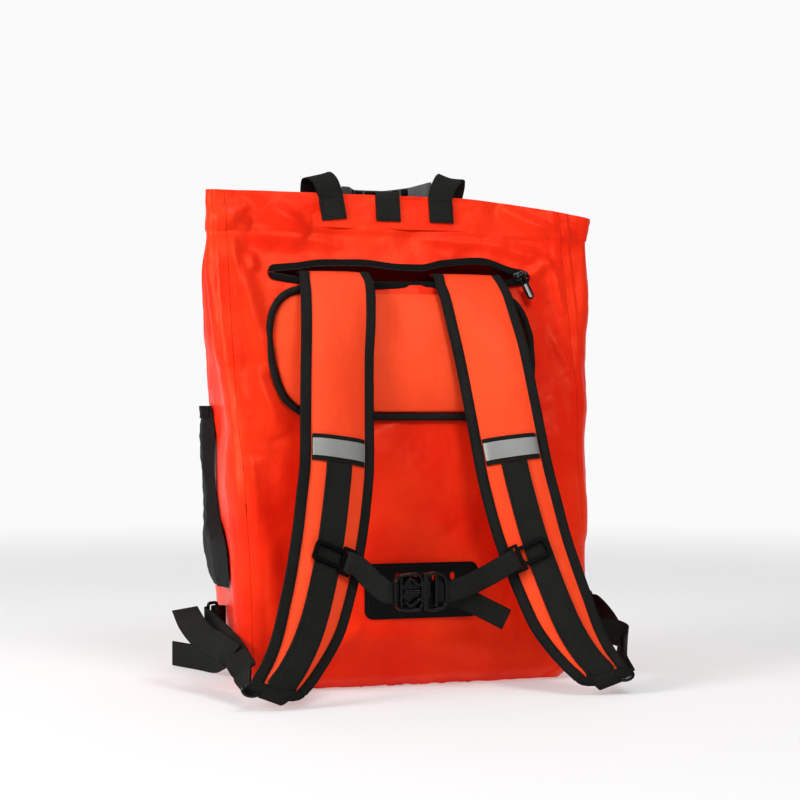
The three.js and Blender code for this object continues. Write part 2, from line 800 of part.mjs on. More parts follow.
function makePiping() {
  const off = gap + pipingWidth / 2;
  const route = [];
  const sideRows = heightsBetween(padBottom + padCorner, padTop, 30);
  for (const z of [...sideRows].reverse()) {
    route.push({ x: -(padHalfWidth + off), z, across: vec(-1, 0, 0) });
  }
  const arcSteps = 6;
  for (let i = 1; i < arcSteps; i += 1) {
    const angle = Math.PI / 2 * i / arcSteps;
    const out = vec(-Math.cos(angle), 0, -Math.sin(angle));
    const centre = vec(-(padHalfWidth - padCorner), 0, padBottom + padCorner);
    const place = centre.addScaledVector(out, padCorner + off);
    route.push({ x: place.x, z: place.z, across: out });
  }
  const bottomEnd = padHalfWidth - padCorner;
  for (const x of spread(-bottomEnd, bottomEnd, 6)) {
    route.push({ x, z: padBottom - off, across: vec(0, 0, -1) });
  }
  const left = route.slice(0, route.length - 7);
  for (const row of left.reverse()) {
    route.push({ x: -row.x, z: row.z, across: vec(-row.across.x, 0, row.across.z) });
  }
  const outward = vec(0, -1, 0);
  const stations = route.map((row) => ({ p: onBack(row.x, row.z, 0), w: row.across, n: outward }));
  const profile = (station) => {
    const half = pipingWidth / 2;
    const seat = (share) => {
      const place = station.p.clone().addScaledVector(station.w, share * half);
      return station.p.y - backFace(place.x, place.z) + gap;
    };
    return [[-half, seat(-1)], [0, seat(0)], [half, seat(1)], [half, seat(1) + pipingThickness * 0.5],
      [half * 0.4, seat(0) + pipingThickness], [-half * 0.4, seat(0) + pipingThickness],
      [-half, seat(-1) + pipingThickness * 0.6]];
  };
  add('back_pad_piping', sweep(stations, profile), 'web');
}

function makeLumbarPatch() {
  const inset = (height) => {
    const edge = Math.min(height, patchHeight - height);
    return edge >= patchCorner ? 0 : patchCorner - Math.sqrt(patchCorner ** 2 - (patchCorner - edge) ** 2);
  };
  const heights = [0, 0.3, 1].map((share) => share * patchCorner);
  const straight = heightsBetween(patchBottom + patchCorner, patchBottom + patchHeight - patchCorner, 30);
  const middle = straight.slice(1, -1).map((z) => z - patchBottom);
  const rows = [...heights, ...middle, ...heights.map((height) => patchHeight - height).reverse()];
  const face = (off) => rows.map((height) => spread(-1, 1, 8).map((share) => (
    onBack(share * (patchHalfWidth - inset(height)), patchBottom + height, gap + off))));
  const slots = Array.from({ length: slotCount }, (_, i) => {
    const x = (i - (slotCount - 1) / 2) * slotSpacing;
    const z = patchBottom + patchHeight - slotDrop;
    const shape = roundedRectangle(new THREE.Shape(), slotWidth, slotHeight, 2);
    const depth = 4 * patchThickness;
    const frame = { p: onBack(x, z, -depth / 2), w: vec(1, 0, 0), t: vec(0, 0, 1), n: vec(0, -1, 0) };
    return plate(shape, depth, frame, 2);
  });
  add('lumbar_patch', cut(sheet(face(patchThickness), face(0)), ...slots), 'web');
}

function makeTabPatch() {
  const top = tabPatchBottom + tabPatchHeight;
  const rows = heightsBetween(tabPatchBottom, top, 30);
  const places = spread(tabPatchMiddle - tabPatchHalfWidth, tabPatchMiddle + tabPatchHalfWidth, 8);
  const face = (off) => rows.map((z) => places.map((x) => onBack(x, z, gap + off)));
  add('tab_patch', sheet(face(1), face(0)), 'cloth');
}

// How far the face of the tab patch lies off the back panel.
const patchFace = 1 + 2 * gap;

function makeTabs() {
  const half = webbingThickness / 2;
  const off = patchFace + half;
  const bottom = bagHeight - tabDrop;
  const sewn = (x) => [
    { p: onBack(x, bottom, off), w: vec(1, 0, 0) },
    { p: onBack(x, bottom + tabSewn / 2, off), w: vec(1, 0, 0) },
    { p: onBack(x, bottom + tabSewn, off), w: vec(1, 0, 0) },
  ];
  const mouth = sectionAt(bagHeight);
  const leftX = tabMiddle - tabSpacing;
  const left = [...sewn(leftX),
    { p: vec(leftX - 3, mouth.back - off, bagHeight + tabLoop * 0.3), w: vec(1, 0, 0.22) },
    { p: vec(leftX - 7, mouth.back - off + 3, bagHeight + tabLoop * 0.65), w: vec(1, 0.1, 0.26) },
    { p: vec(leftX - 10, (mouth.back + mouth.front) / 2, bagHeight + tabLoop * 0.8), w: vec(1, 0.2, 0.2) },
    { p: vec(leftX - 11, mouth.front + off - 1, bagHeight + tabLoop * 0.7), w: vec(1, 0.2, 0.1) },
    { p: vec(leftX - 12, mouth.front + off + 1, bagHeight + 1), w: vec(1, 0.1, 0) },
    { p: vec(leftX - 12, mouth.front + off + 3, bagHeight - 12), w: vec(1, 0, 0) }];
  add('mouth_tab_left', ribbon(left, webbing, webbingThickness), 'web');

  const over = [...sewn(tabMiddle),
    { p: vec(tabMiddle, mouth.back - off, bagHeight + 1), w: vec(1, 0, 0) },
    { p: vec(tabMiddle, mouth.back - off * 0.4, bagHeight + 2 + half), w: vec(1, 0, 0) },
    { p: vec(tabMiddle, mouth.front + off * 0.4, bagHeight + 2 + half), w: vec(1, 0, 0) },
    { p: vec(tabMiddle, mouth.front + off, bagHeight + 0.5), w: vec(1, 0, 0) },
    { p: vec(tabMiddle, mouth.front + off + 2, bagHeight - 14), w: vec(1, 0, 0) }];
  add('mouth_tab_centre', ribbon(over, webbing, webbingThickness), 'web');

  const rightX = tabMiddle + tabSpacing;
  const right = [...sewn(rightX),
    { p: vec(rightX + 1, mouth.back - off, bagHeight + 7), w: vec(1, 0, -0.05) },
    { p: vec(rightX + 5, mouth.back - off + 1, bagHeight + 15), w: vec(0.97, 0, -0.2) },
    { p: vec(rightX + 11, mouth.back + 4, bagHeight + 21), w: vec(0.95, 0, -0.3) },
    { p: vec(rightX + 18, mouth.front + 7, bagHeight + 19), w: vec(0.9, 0.1, -0.42) },
    { p: vec(rightX + 24, mouth.front + 12, bagHeight + 11), w: vec(0.92, 0.1, -0.38) }];
  add('mouth_tab_right', ribbon(right, webbing, webbingThickness), 'web');
}

function makeHandle() {
  const seat = sectionAt(bagHeight + handleLift - handleWidth).front + handleThickness / 2 + gap;
  const height = bagHeight + handleLift - handleWidth / 2;
  const shares = [-1, -0.9, -0.78, -0.62, -0.3, 0, 0.3, 0.62, 0.78, 0.9, 1];
  const route = shares.map((share) => {
    const bow = handleBow * Math.min(1, Math.max(0, 0.9 - Math.abs(share)) / 0.28);
    const rise = handleRise * Math.max(0, share) ** 1.3;
    return { p: vec(handleMiddle + share * handleHalfLength, seat + bow, height + rise), w: vec(0, 0, 1) };
  });
  add('handle_grip', ribbon(route, handleWidth, handleThickness), 'grip');
}

// Stations of one shoulder strap, from its root inside the slit to its lower end.
function strapStations(side) {
  const flareSize = side < 0 ? strapFlareLeft : strapFlareRight;
  const root = [
    { in: wall + linerDepth - 1, z: 1, thick: 0.36 },
    { in: 6, z: 1, thick: 0.36 },
    { in: -3, z: -0.5, thick: 0.36 },
  ].map((row) => ({
    p: onBack(side * strapTopOffset, slitHeight + row.z, -row.in),
    w: vec(1, 0, 0),
    width: 0.96,
    thick: row.thick,
  }));
  const hang = strapHang.map((row) => {
    const z = slitHeight * (1 - row.drop);
    const x = side * (strapTopOffset + row.flare * flareSize);
    const toe = radians(strapToe * row.toe);
    return {
      p: onBack(x, z, row.out * strapReach),
      w: vec(Math.cos(toe), -side * Math.sin(toe), 0),
      width: row.width,
      thick: row.thick,
    };
  });
  return stationsAlong([...root, ...hang]).map((station) => ({
    ...station, half: station.width * strapHalfWidth, rise: station.thick * strapHalfThickness,
  }));
}

// The station at a share of the drop below the slit.
function strapStationAt(side, drop) {
  const z = slitHeight * (1 - drop);
  const stations = strapStations(side);
  let i = 4;
  while (i < stations.length - 1 && stations[i].p.z > z) {
    i += 1;
  }
  const low = stations[i - 1];
  const high = stations[i];
  const part = (low.p.z - z) / (low.p.z - high.p.z);
  const mix = (key) => low[key].clone().lerp(high[key], part);
  return {
    p: mix('p'), w: mix('w').normalize(), n: mix('n').normalize(), t: mix('t').normalize(),
    half: low.half + (high.half - low.half) * part, rise: low.rise + (high.rise - low.rise) * part,
  };
}

const flatHalf = webbing / 2 + 1.5;
const shoulderShare = 0.75;

// Height of a strap's crowned face over its middle, at a distance from its centre line.
function strapFace(station, across) {
  const shoulder = station.half - bindingWidth - 1.5;
  const far = Math.abs(across);
  if (far <= flatHalf) {
    return station.rise;
  }
  return station.rise * (1 - (1 - shoulderShare) * (far - flatHalf) / (shoulder - flatHalf));
}

function strapSection(station) {
  const shoulder = station.half - bindingWidth - 1.5;
  const lip = station.half - bindingWidth - 0.6;
  const edge = station.half - bindingThickness - gap;
  const thin = Math.min(bindingEdge, station.rise * shoulderShare);
  const low = -station.rise;
  const top = station.rise;
  const slope = top * shoulderShare;
  const upper = [[edge, thin], [lip, thin], [shoulder, slope], [flatHalf, top]];
  return [
    [-edge, -thin], [-lip, -thin], [-shoulder, -slope], [-flatHalf, low],
    [flatHalf, low], [shoulder, -slope], [lip, -thin], [edge, -thin],
    ...upper, ...upper.slice().reverse().map(([across, off]) => [-across, off]),
  ];
}

function bindingSection(side) {
  return (station) => {
    const inner = station.half - bindingWidth;
    const outer = station.half;
    const thin = Math.min(bindingEdge, station.rise * shoulderShare) + gap;
    const skin = thin + bindingThickness;
    const inside = outer - bindingThickness;
    return [[inner, skin], [outer, skin], [outer, -skin], [inner, -skin],
      [inner, -thin], [inside, -thin], [inside, thin], [inner, thin]].map(([w, n]) => [side * w, n]);
  };
}

// A layer that lies on a strap's face between two distances from its centre line.
function layerOn(half, lift, thickness) {
  return (station) => {
    const reach = Math.min(half, station.half - bindingWidth - 1.5);
    const knots = reach > flatHalf ? [-reach, -flatHalf, flatHalf, reach] : [-reach, reach];
    const under = knots.map((w) => [w, strapFace(station, w) + lift]);
    const over = [...knots].reverse().map((w) => [w, strapFace(station, w) + lift + thickness]);
    return [...under, ...over];
  };
}

function sideName(side) {
  return side < 0 ? 'left' : 'right';
}

// Stations of a strap between two shares of the drop, with the strap's own ones kept.
function strapStretch(side, from, to) {
  const z = (drop) => slitHeight * (1 - drop);
  const own = strapStations(side).slice(3).filter((row) => row.p.z < z(from) - 2 && row.p.z > z(to) + 2);
  return [strapStationAt(side, from), ...own, strapStationAt(side, to)];
}

function endStation(side) {
  const stations = strapStations(side);
  return stations[stations.length - 1];
}

function makeStrap(side) {
  const name = sideName(side);
  const stations = strapStations(side);
  const crossHalf = crossbandHeight / slitHeight / 2;
  const reflectHalf = reflectorHeight / slitHeight / 2;
  const bandLift = gap + crossbandThickness;
  const last = strapHang[strapHang.length - 1].drop;
  add(`shoulder_strap_${name}`, sweep(stations, strapSection), 'cloth');
  add(`strap_binding_outer_${name}`, sweep(stations.slice(3), bindingSection(side)), 'web');
  add(`strap_binding_inner_${name}`, sweep(stations.slice(3), bindingSection(-side)), 'web');
  const crossStations = strapStretch(side, crossbandDrop - crossHalf, crossbandDrop + crossHalf);
  const crossLayer = layerOn(strapHalfWidth, gap, crossbandThickness);
  add(`strap_crossband_${name}`, sweep(crossStations, crossLayer), 'web');
  const reflectStations = strapStretch(side, crossbandDrop - reflectHalf, crossbandDrop + reflectHalf);
  add(`strap_reflector_${name}`,
    sweep(reflectStations, layerOn(strapHalfWidth - 0.5, gap + bandLift, reflectorThickness)), 'strip');
  const webStations = strapStretch(side, crossbandDrop + crossHalf + gap / slitHeight * 2, last);
  add(`strap_webbing_${name}`, sweep(webStations, layerOn(webbing / 2, gap, webbingThickness)), 'web');

  const end = endStation(side);
  const capHalf = end.half * 0.97;
  const capProfile = (row, i) => {
    const half = capHalf * [1, 0.93, 0.66][i];
    const rise = end.rise + 1 - i * 0.7;
    return [[-half, -rise * 0.6], [-half * 0.7, -rise], [half * 0.7, -rise], [half, -rise * 0.6],
      [half, rise * 0.6], [half * 0.7, rise], [-half * 0.7, rise], [-half, rise * 0.6]];
  };
  const cap = [gap, endCapLength * 0.5, endCapLength].map((along, i) => ({
    ...end, p: end.p.clone().addScaledVector(end.t, along).addScaledVector(end.w, side * [0, 1, 4][i]),
  }));
  add(`strap_end_cap_${name}`, sweep(cap, capProfile), 'web');
}

// The frame of the sternum glide on a strap: it lies on the strap's webbing.
function glideFrame(side) {
  const station = strapStationAt(side, glideDrop);
  const lift = station.rise + webbingThickness + 2 * gap;
  const turn = radians(side < 0 ? glideTurnLeft : glideTurnRight);
  const w = station.w.clone().multiplyScalar(Math.cos(turn))
    .addScaledVector(station.t, Math.sin(turn)).normalize();
  const n = station.n.clone();
  const t = n.clone().cross(w).normalize();
  const shift = side < 0 ? 0 : glideShiftRight;
  return { p: station.p.clone().addScaledVector(n, lift).addScaledVector(station.w, shift), w, t, n };
}

function makeGlide(side) {
  const name = sideName(side);
  const frame = glideFrame(side);
  const inward = -side;
  const shape = roundedRectangle(new THREE.Shape(), glideLength, glideWidth, 3.5);
  const [inside, high] = [glideLength - 2 * glideRim, glideWidth - 2 * glideRim];
  shape.holes.push(roundedRectangle(new THREE.Path(), inside, high, 1.2));
  const at = (across, up, off) => frame.p.clone()
    .addScaledVector(frame.w, across).addScaledVector(frame.t, up).addScaledVector(frame.n, off);
  const rim = plate(shape, glideThickness, frame);
  const pinAcross = inward * (glideLength / 2 + sternumPin + sternumThickness + 2 * gap);
  const earReach = 6;
  const earLength = sternumWebbing / 2 + gap + 1.4;
  const ears = [-1, 1].map((end) => plate(
    roundedRectangle(new THREE.Shape(), earReach + 6, 2.6, 1), glideThickness,
    { ...frame, p: at(inward * (glideLength / 2 + earReach / 2 - 1), end * earLength, 0) }, 2));
  const bridge = [-1, 1].map((end) => plate(
    roundedRectangle(new THREE.Shape(), 3, earLength + 1.3 - glideWidth / 2 + 3, 1), glideThickness,
    { ...frame, p: at(inward * (glideLength / 2 - 2.2), end * (earLength + glideWidth / 2 - 3) / 2, 0) },
    1));
  add(`sternum_glide_${name}`, join(rim, ...ears, ...bridge), 'plastic');
  const reach = earLength - 1.3 - gap;
  const pin = [-1, 1].map((end) => (
    { p: at(pinAcross, end * reach, glideThickness / 2), w: frame.w, n: frame.n }));
  add(`sternum_pin_${name}`, sweep(pin, () => round(sternumPin, 8)), 'strip');
  return { at, frame, pinAcross, inward };
}

// The buckle's frame, hung between the two glides.
function buckleFrame() {
  const p = vec(buckleOffset, backFace(buckleOffset, buckleHeight) - buckleStandOff, buckleHeight);
  return { p, w: vec(1, 0, 0), t: vec(0, 0, 1), n: vec(0, -1, 0) };
}

// A rounded window through a plate, at a distance along it.
function window(x, width, height) {
  const outline = roundedRectangle(new THREE.Path(), width, height, 1).getPoints(2);
  return new THREE.Path(outline.map((point) => new THREE.Vector2(point.x + x, point.y)));
}

function makeBuckle() {
  const frame = buckleFrame();
  const half = buckleLength / 2;
  const wide = buckleWidth / 2;
  const female = new THREE.Shape();
  female.moveTo(-half + 6, -wide * 0.86);
  female.lineTo(-3, -wide * 0.86);
  female.lineTo(-3, -wide * 0.42);
  female.lineTo(-11, -wide * 0.42);
  female.lineTo(-11, wide * 0.42);
  female.lineTo(-3, wide * 0.42);
  female.lineTo(-3, wide * 0.86);
  female.lineTo(-half + 6, wide * 0.86);
  female.quadraticCurveTo(-half, wide * 0.4, -half, 0);
  female.quadraticCurveTo(-half, -wide * 0.4, -half + 6, -wide * 0.86);
  female.holes.push(window(8 - half, 3, sternumWebbing));
  const lowered = frame.p.clone().addScaledVector(frame.n, -buckleThickness / 2);
  add('buckle_female', plate(female, buckleThickness, { ...frame, p: lowered }), 'plastic');

  const male = new THREE.Shape();
  const root = -3 + gap;
  male.moveTo(half - 3, -wide);
  male.lineTo(root + 3, -wide);
  male.lineTo(root, -wide * 0.7);
  male.lineTo(root, -wide * 0.42 + gap);
  male.lineTo(-11 + gap, -wide * 0.42 + gap);
  male.quadraticCurveTo(-6, 0, -11 + gap, wide * 0.42 - gap);
  male.lineTo(root, wide * 0.42 - gap);
  male.lineTo(root, wide * 0.7);
  male.lineTo(root + 3, wide);
  male.lineTo(half - 3, wide);
  male.quadraticCurveTo(half, wide, half, wide - 3);
  male.lineTo(half, -wide + 3);
  male.quadraticCurveTo(half, -wide, half - 3, -wide);
  for (const x of [7, 15.5]) {
    male.holes.push(window(x, 4.5, sternumWebbing + 2));
  }
  add('buckle_male', plate(male, buckleThickness, { ...frame, p: lowered }), 'plastic');
}

function makeSternumStrap() {
  const buckle = buckleFrame();
  const half = buckleLength / 2;
  const ends = { '-1': makeGlide(-1), '1': makeGlide(1) };
  for (const side of [-1, 1]) {
    const { at, frame, pinAcross, inward } = ends[side];
    const wrap = sternumPin + gap + sternumThickness / 2;
    const lift = glideThickness / 2;
    const hook = [-60, -10, 40, 90].map((degrees) => {
      const angle = radians(degrees);
      return {
        p: at(pinAcross - inward * wrap * Math.cos(angle), 0, lift + wrap * Math.sin(angle)),
        w: frame.t.clone().multiplyScalar(side),
      };
    });
    const upright = vec(0, 0, 1);
    const end = buckle.p.clone().addScaledVector(buckle.w, side * (half + gap));
    const lead = buckle.p.clone().addScaledVector(buckle.w, side * (half + 6));
    const leave = at(pinAcross + inward * 9, -1, lift + wrap + 0.6);
    const near = lead.clone().lerp(leave, 0.45);
    near.z -= 2;
    const tilt = (share) => frame.t.clone().lerp(upright, share).multiplyScalar(side);
    const route = [...hook, { p: leave, w: tilt(0.15).normalize() }, { p: near, w: tilt(0.7).normalize() },
      { p: lead, w: tilt(0.9).normalize() }, { p: end, w: upright.clone().multiplyScalar(side) }];
    add(`sternum_webbing_${sideName(side)}`, ribbon(route, sternumWebbing, sternumThickness), 'web');
  }
  const under = buckleThickness / 2 + gap + sternumThickness / 2;
  const start = buckle.p.clone().addScaledVector(buckle.n, -under);
  const along = (distance, drop, off) => start.clone()
    .addScaledVector(buckle.w, distance).addScaledVector(buckle.t, -drop).addScaledVector(buckle.n, off);
  const tail = [[2, 0, 0], [half, 4, -2], [half + 0.3 * sternumTailLength, 9, -4],
    [half + 0.62 * sternumTailLength, 20, -4], [half + 0.86 * sternumTailLength, 29, -3]];
  const route = tail.map(([distance, drop, off]) => ({ p: along(distance, drop, off), w: vec(0.2, 0, 1) }));
  add('sternum_tail', ribbon(route, sternumWebbing, sternumThickness), 'web');
}

// The anchor on the bag's side: a folded tab that holds a ring, which the lower webbing pulls on.
function anchorPlace(side) {
  const y = -anchorSetBack;
  const lowEdge = anchorHeight - webbing / 2;
  const x = side * Math.max(...[lowEdge, anchorHeight, anchorHeight + webbing / 2]
    .map((z) => Math.abs(sideFace(side, y, z))));
  const reach = side < 0 ? anchorTabLeft : anchorTabRight;
  const eye = vec(x + side * (gap + reach), y, anchorHeight);
  return { x, y, reach, eye, outer: eye.clone().add(vec(side * ringWidth * 0.86, -ringWidth * 0.5, 0)) };
}

function makeAnchor(side) {
  const name = sideName(side);
  const { x, y, reach, eye, outer } = anchorPlace(side);
  const bulb = ringWire + gap + webbingThickness;
  const eyeHole = new THREE.Path();
  eyeHole.absarc(0, 0, ringWire + gap, 0, 2 * Math.PI);
  const outline = new THREE.Shape();
  const spreadAngle = Math.asin(webbingThickness / bulb);
  if (side < 0) {
    outline.moveTo(reach, -webbingThickness);
    outline.lineTo(reach, webbingThickness);
    outline.absarc(0, 0, bulb, spreadAngle, 2 * Math.PI - spreadAngle, false);
  } else {
    outline.moveTo(-reach, webbingThickness);
    outline.lineTo(-reach, -webbingThickness);
    outline.absarc(0, 0, bulb, Math.PI + spreadAngle, 3 * Math.PI - spreadAngle, false);
  }
  outline.holes.push(eyeHole);
  const foot = eye.clone().setZ(anchorHeight - webbing / 2);
  const frame = { p: foot, w: vec(1, 0, 0), t: vec(0, 1, 0), n: vec(0, 0, 1) };
  add(`anchor_tab_${name}`, plate(outline, webbing, frame, 6), 'web');

  const across = outer.clone().sub(eye);
  const wide = across.length();
  across.normalize();
  const bend = 2.5;
  const tall = webbing / 2 + bend + 2 * gap;
  const route = [];
  const turn = (cx, cz, from) => {
    for (const share of [0, 0.5, 1]) {
      const angle = radians(from + 90 * share);
      const w = across.clone().multiplyScalar(Math.cos(angle));
      w.z += Math.sin(angle);
      const p = eye.clone().addScaledVector(across, cx + bend * Math.cos(angle));
      p.z += cz + bend * Math.sin(angle);
      route.push({ p, w });
    }
  };
  turn(wide - bend, tall - bend, 0);
  turn(bend, tall - bend, 90);
  turn(bend, -tall + bend, 180);
  turn(wide - bend, -tall + bend, 270);
  add(`anchor_ring_${name}`, sweep(stationsAlong(route, true), () => round(ringWire, 6), true), 'plastic');
}

// The frame of a ladder lock, at the lower end of a strap.
function lockFrame(side) {
  const end = endStation(side);
  const offset = side < 0 ? lockOffsetLeft : lockOffsetRight;
  const p = end.p.clone().addScaledVector(end.t, endCapLength + gap)
    .addScaledVector(end.w, side * offset);
  return { p, w: end.w, t: end.t, n: end.n };
}

function makeLock(side) {
  const frame = lockFrame(side);
  const at = (across, along, off) => frame.p.clone()
    .addScaledVector(frame.w, across).addScaledVector(frame.t, along).addScaledVector(frame.n, off);
  const low = -lockThickness / 2;
  const basis = { w: frame.w, t: frame.t, n: frame.w.clone().cross(frame.t) };
  const flip = basis.n.dot(frame.n) < 0 ? lockThickness : 0;
  const shape = roundedRectangle(new THREE.Shape(), lockWidth, lockLength, 3);
  for (const along of [-2.4, 2.4]) {
    const slot = roundedRectangle(new THREE.Path(), lockWidth - 7, 2, 0.6).getPoints(1);
    shape.holes.push(new THREE.Path(slot.map((point) => new THREE.Vector2(point.x, point.y + along))));
  }
  const body = plate(shape, lockThickness, { ...basis, p: at(0, lockLength / 2, low + flip) });
  const lever = new THREE.Shape();
  lever.absellipse(0, 0, 9, 6.5, 0, 2 * Math.PI);
  const leverThickness = 2.4;
  const leverPlace = at(side * 10, 7.5, lockThickness / 2 - 0.4 + (flip ? leverThickness : 0));
  const tab = plate(lever, leverThickness, { ...basis, p: leverPlace });
  add(`ladder_lock_${sideName(side)}`, join(body, tab), 'plastic');
}

// The lower webbing wraps the ring's outer leg, runs forward and turns flat into the ladder lock.
function makeLowerWebbing(side) {
  const { outer } = anchorPlace(side);
  const wrap = ringWire + gap + webbingThickness / 2;
  const up = vec(0, 0, side);
  const lock = lockFrame(side);
  const end = lock.p.clone().addScaledVector(lock.t, lockLength / 2)
    .addScaledVector(lock.n, -(lockThickness / 2 + 3 * webbingThickness));
  const pull = outer.clone().sub(end);
  const mid = (share, sideways, rise) => {
    const p = end.clone().addScaledVector(pull, share);
    p.x += side * sideways;
    p.z += rise;
    return p;
  };
  const bulge = side < 0 ? 2 : 16;
  const forward = [
    { p: outer.clone().add(vec(side * wrap, -8, 0)), w: up },
    { p: mid(0.62, bulge, -2), w: up },
    { p: mid(0.34, bulge * 0.4, -2), w: up.clone().lerp(lock.w, 0.3).normalize() },
    { p: mid(0.13, 0, 0), w: up.clone().lerp(lock.w, 0.75).normalize() },
    { p: end, w: lock.w.clone() },
  ];
  const start = [
    { p: outer.clone().add(vec(-side * wrap * 0.6, wrap * 0.8 + 0, 0)), w: up },
    { p: outer.clone().add(vec(side * wrap * 0.5, wrap * 0.87, 0)), w: up },
    { p: outer.clone().add(vec(side * wrap, 0, 0)), w: up },
  ];
  add(`lower_webbing_${sideName(side)}`, ribbon([...start, ...forward], webbing, webbingThickness), 'web');
}

function makeTails() {
  const lock = lockFrame(-1);
  const outer = anchorPlace(-1).outer;
  const slack = outer.clone().sub(lock.p);
  const along = (share, sideways, rise) => (
    lock.p.clone().addScaledVector(slack, share).add(vec(sideways, 0, rise)));
  const upper = [
    { p: along(0.045, -12, 5), w: vec(0.74, 0.15, 0.64) },
    { p: along(0.2, -16, 8), w: vec(0.7, 0.14, 0.7) },
    { p: along(0.35, -17, 8), w: vec(0.68, 0.12, 0.72) },
    { p: along(0.56, -21, 10), w: vec(0.74, 0.1, 0.66) },
    { p: along(0.78, -24, 23), w: vec(0.95, 0.05, 0.3) },
  ];
  add('loose_tail_left', ribbon(smoothRoute(upper, 7), webbing, webbingThickness), 'web');

  const rest = webbing / 2 + 0.6;
  const seatX = sideFace(-1, -4, 1.5 * webbing) - gap - webbingThickness / 2;
  const floor = [
    { p: vec(seatX, -4, rest + 12), w: vec(0.05, 0, 1) },
    { p: vec(seatX - 0.8, 12, rest + 8), w: vec(0, 0, 1) },
    { p: vec(seatX - 4, 0.35 * floorTailLength, rest + 1), w: vec(0, 0, 1) },
    { p: vec(seatX - 15, 0.65 * floorTailLength, rest), w: vec(0, 0, 1) },
    { p: vec(seatX - 33, floorTailLength, rest), w: vec(0, 0, 1) },
  ];
  add('floor_tail_left', ribbon(smoothRoute(floor, 8), webbing, webbingThickness), 'web');

  const far = lockFrame(1);
  const start = far.p.clone().addScaledVector(far.t, lockLength / 2)
    .addScaledVector(far.w, lockWidth / 2 + 2 * gap);
  const curl = [[0, 0.025, 0.05], [0.177, 0.278, 0.101], [0.392, 0.633, 0.165], [0.481, 0.848, 0.215],
    [0.43, 0.987, 0.253], [0.342, 1, 0.253]].map(([x, y, z], i) => ({
    p: start.clone().addScaledVector(vec(x, y, z), curlReach),
    w: vec([0, 0, 0.1, 0.1, 0, 0][i], [0.2, 0.1, 0.1, 0, 0, 0][i], 1),
  }));
  add('loose_tail_right', ribbon(smoothRoute(curl, 9), webbing, webbingThickness), 'web');
}

function makePocket() {
  const depth = pocketBack - pocketFront;
  const height = pocketTop - pocketBottom;
  const rows = [...heightsBetween(pocketBottom, pocketTop - pocketHem, 22), pocketTop];
  const shares = [0, 0.06, 0.22, 0.45, 0.7, 0.92, 1];
  const place = (share, z, off) => {
    const row = read(pocketShape, 'up', (z - pocketBottom) / height);
    const front = pocketFront + row.front * depth;
    const y = front + (pocketBack - front) * share;
    const swell = pocketBulge * row.bulge * Math.min(1, 4.5 * share, 6 * (1 - share));
    return vec(sideFace(-1, y, z) - (2 * gap + swell + off), y, z);
  };
  const face = (off) => rows.map((z) => shares.map((share) => place(share, z, off)));
  add('mesh_pocket', sheet(face(pocketWall), face(0)), 'web');

  const hemRows = rows.slice(-2);
  const hem = (off) => hemRows.map((z) => shares.slice(1, -1).map((share) => (
    place(share, z, pocketWall + gap + off))));
  add('pocket_hem', sheet(hem(1), hem(0)), 'web');
}

makeShell();
makeLiner();
makeTapes();
makeZipSlider();
makePad();
makePiping();
makeLumbarPatch();
makeTabPatch();
makeTabs();
makeHandle();
for (const side of [-1, 1]) {
  makeStrap(side);
  makeAnchor(side);
  makeLock(side);
  makeLowerWebbing(side);
}
makeBuckle();
makeSternumStrap();
makeTails();
makePocket();

export default bag;
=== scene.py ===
"""Looks of a messenger backpack: shell, pads, straps, buckle, pocket, finishes, floor, lights and camera."""

import json
import math
from functools import lru_cache

import bpy
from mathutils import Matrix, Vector, noise

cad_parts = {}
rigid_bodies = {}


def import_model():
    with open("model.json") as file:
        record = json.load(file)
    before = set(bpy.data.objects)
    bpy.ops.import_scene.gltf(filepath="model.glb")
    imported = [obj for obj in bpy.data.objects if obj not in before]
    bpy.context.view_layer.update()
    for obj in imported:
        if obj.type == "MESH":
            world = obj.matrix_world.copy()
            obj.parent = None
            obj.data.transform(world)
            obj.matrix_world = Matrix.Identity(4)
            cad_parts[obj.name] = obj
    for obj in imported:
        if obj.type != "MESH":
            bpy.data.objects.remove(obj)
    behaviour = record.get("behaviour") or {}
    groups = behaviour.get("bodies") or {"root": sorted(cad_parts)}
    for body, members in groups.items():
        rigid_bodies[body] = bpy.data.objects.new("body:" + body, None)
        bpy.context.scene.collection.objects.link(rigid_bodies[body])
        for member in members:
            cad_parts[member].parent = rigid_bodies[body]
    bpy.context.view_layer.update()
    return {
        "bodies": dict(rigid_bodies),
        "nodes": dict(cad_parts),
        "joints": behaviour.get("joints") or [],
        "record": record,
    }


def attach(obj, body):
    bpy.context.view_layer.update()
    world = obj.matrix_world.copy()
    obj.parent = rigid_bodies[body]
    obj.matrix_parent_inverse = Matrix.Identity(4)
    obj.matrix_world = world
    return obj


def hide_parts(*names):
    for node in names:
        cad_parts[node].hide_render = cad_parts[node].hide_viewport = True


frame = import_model()

MM = 0.001

# Shell, in millimetres
BAG_HEIGHT = 474.0
BAG_HALF_WIDTH = 197.0
BACK_REACH = 98.0
FRONT_REACH = 78.0
CORNER_RADIUS = 24.0
MOUTH_LEAN = 10.0
SEAM_HALF_WIDTH = 172.0
PANEL_CROWN = 5.0
GUSSET_FOLD = 7.0
WALL = 1.6
MOUTH_DROOP = 16.0
DROOP_START = 60.0
WELD_HEIGHT = 434.0
GAP = 0.3

# Stow slit and its zip
SLIT_HEIGHT = 394.0
SLIT_HALF_WIDTH = 134.0
SLIT_GAPE = 16.0
TAPE_WIDTH = 7.0
TAPE_THICKNESS = 2.0
LINER_DEPTH = 14.0
LINER_HALF_WIDTH = 148.0
LINER_TOP = 426.0
LINER_BOTTOM = 326.0

# Slider
SLIDER_LENGTH = 12.0
SLIDER_TILT = 20.0
PIN_HEIGHT = 8.2

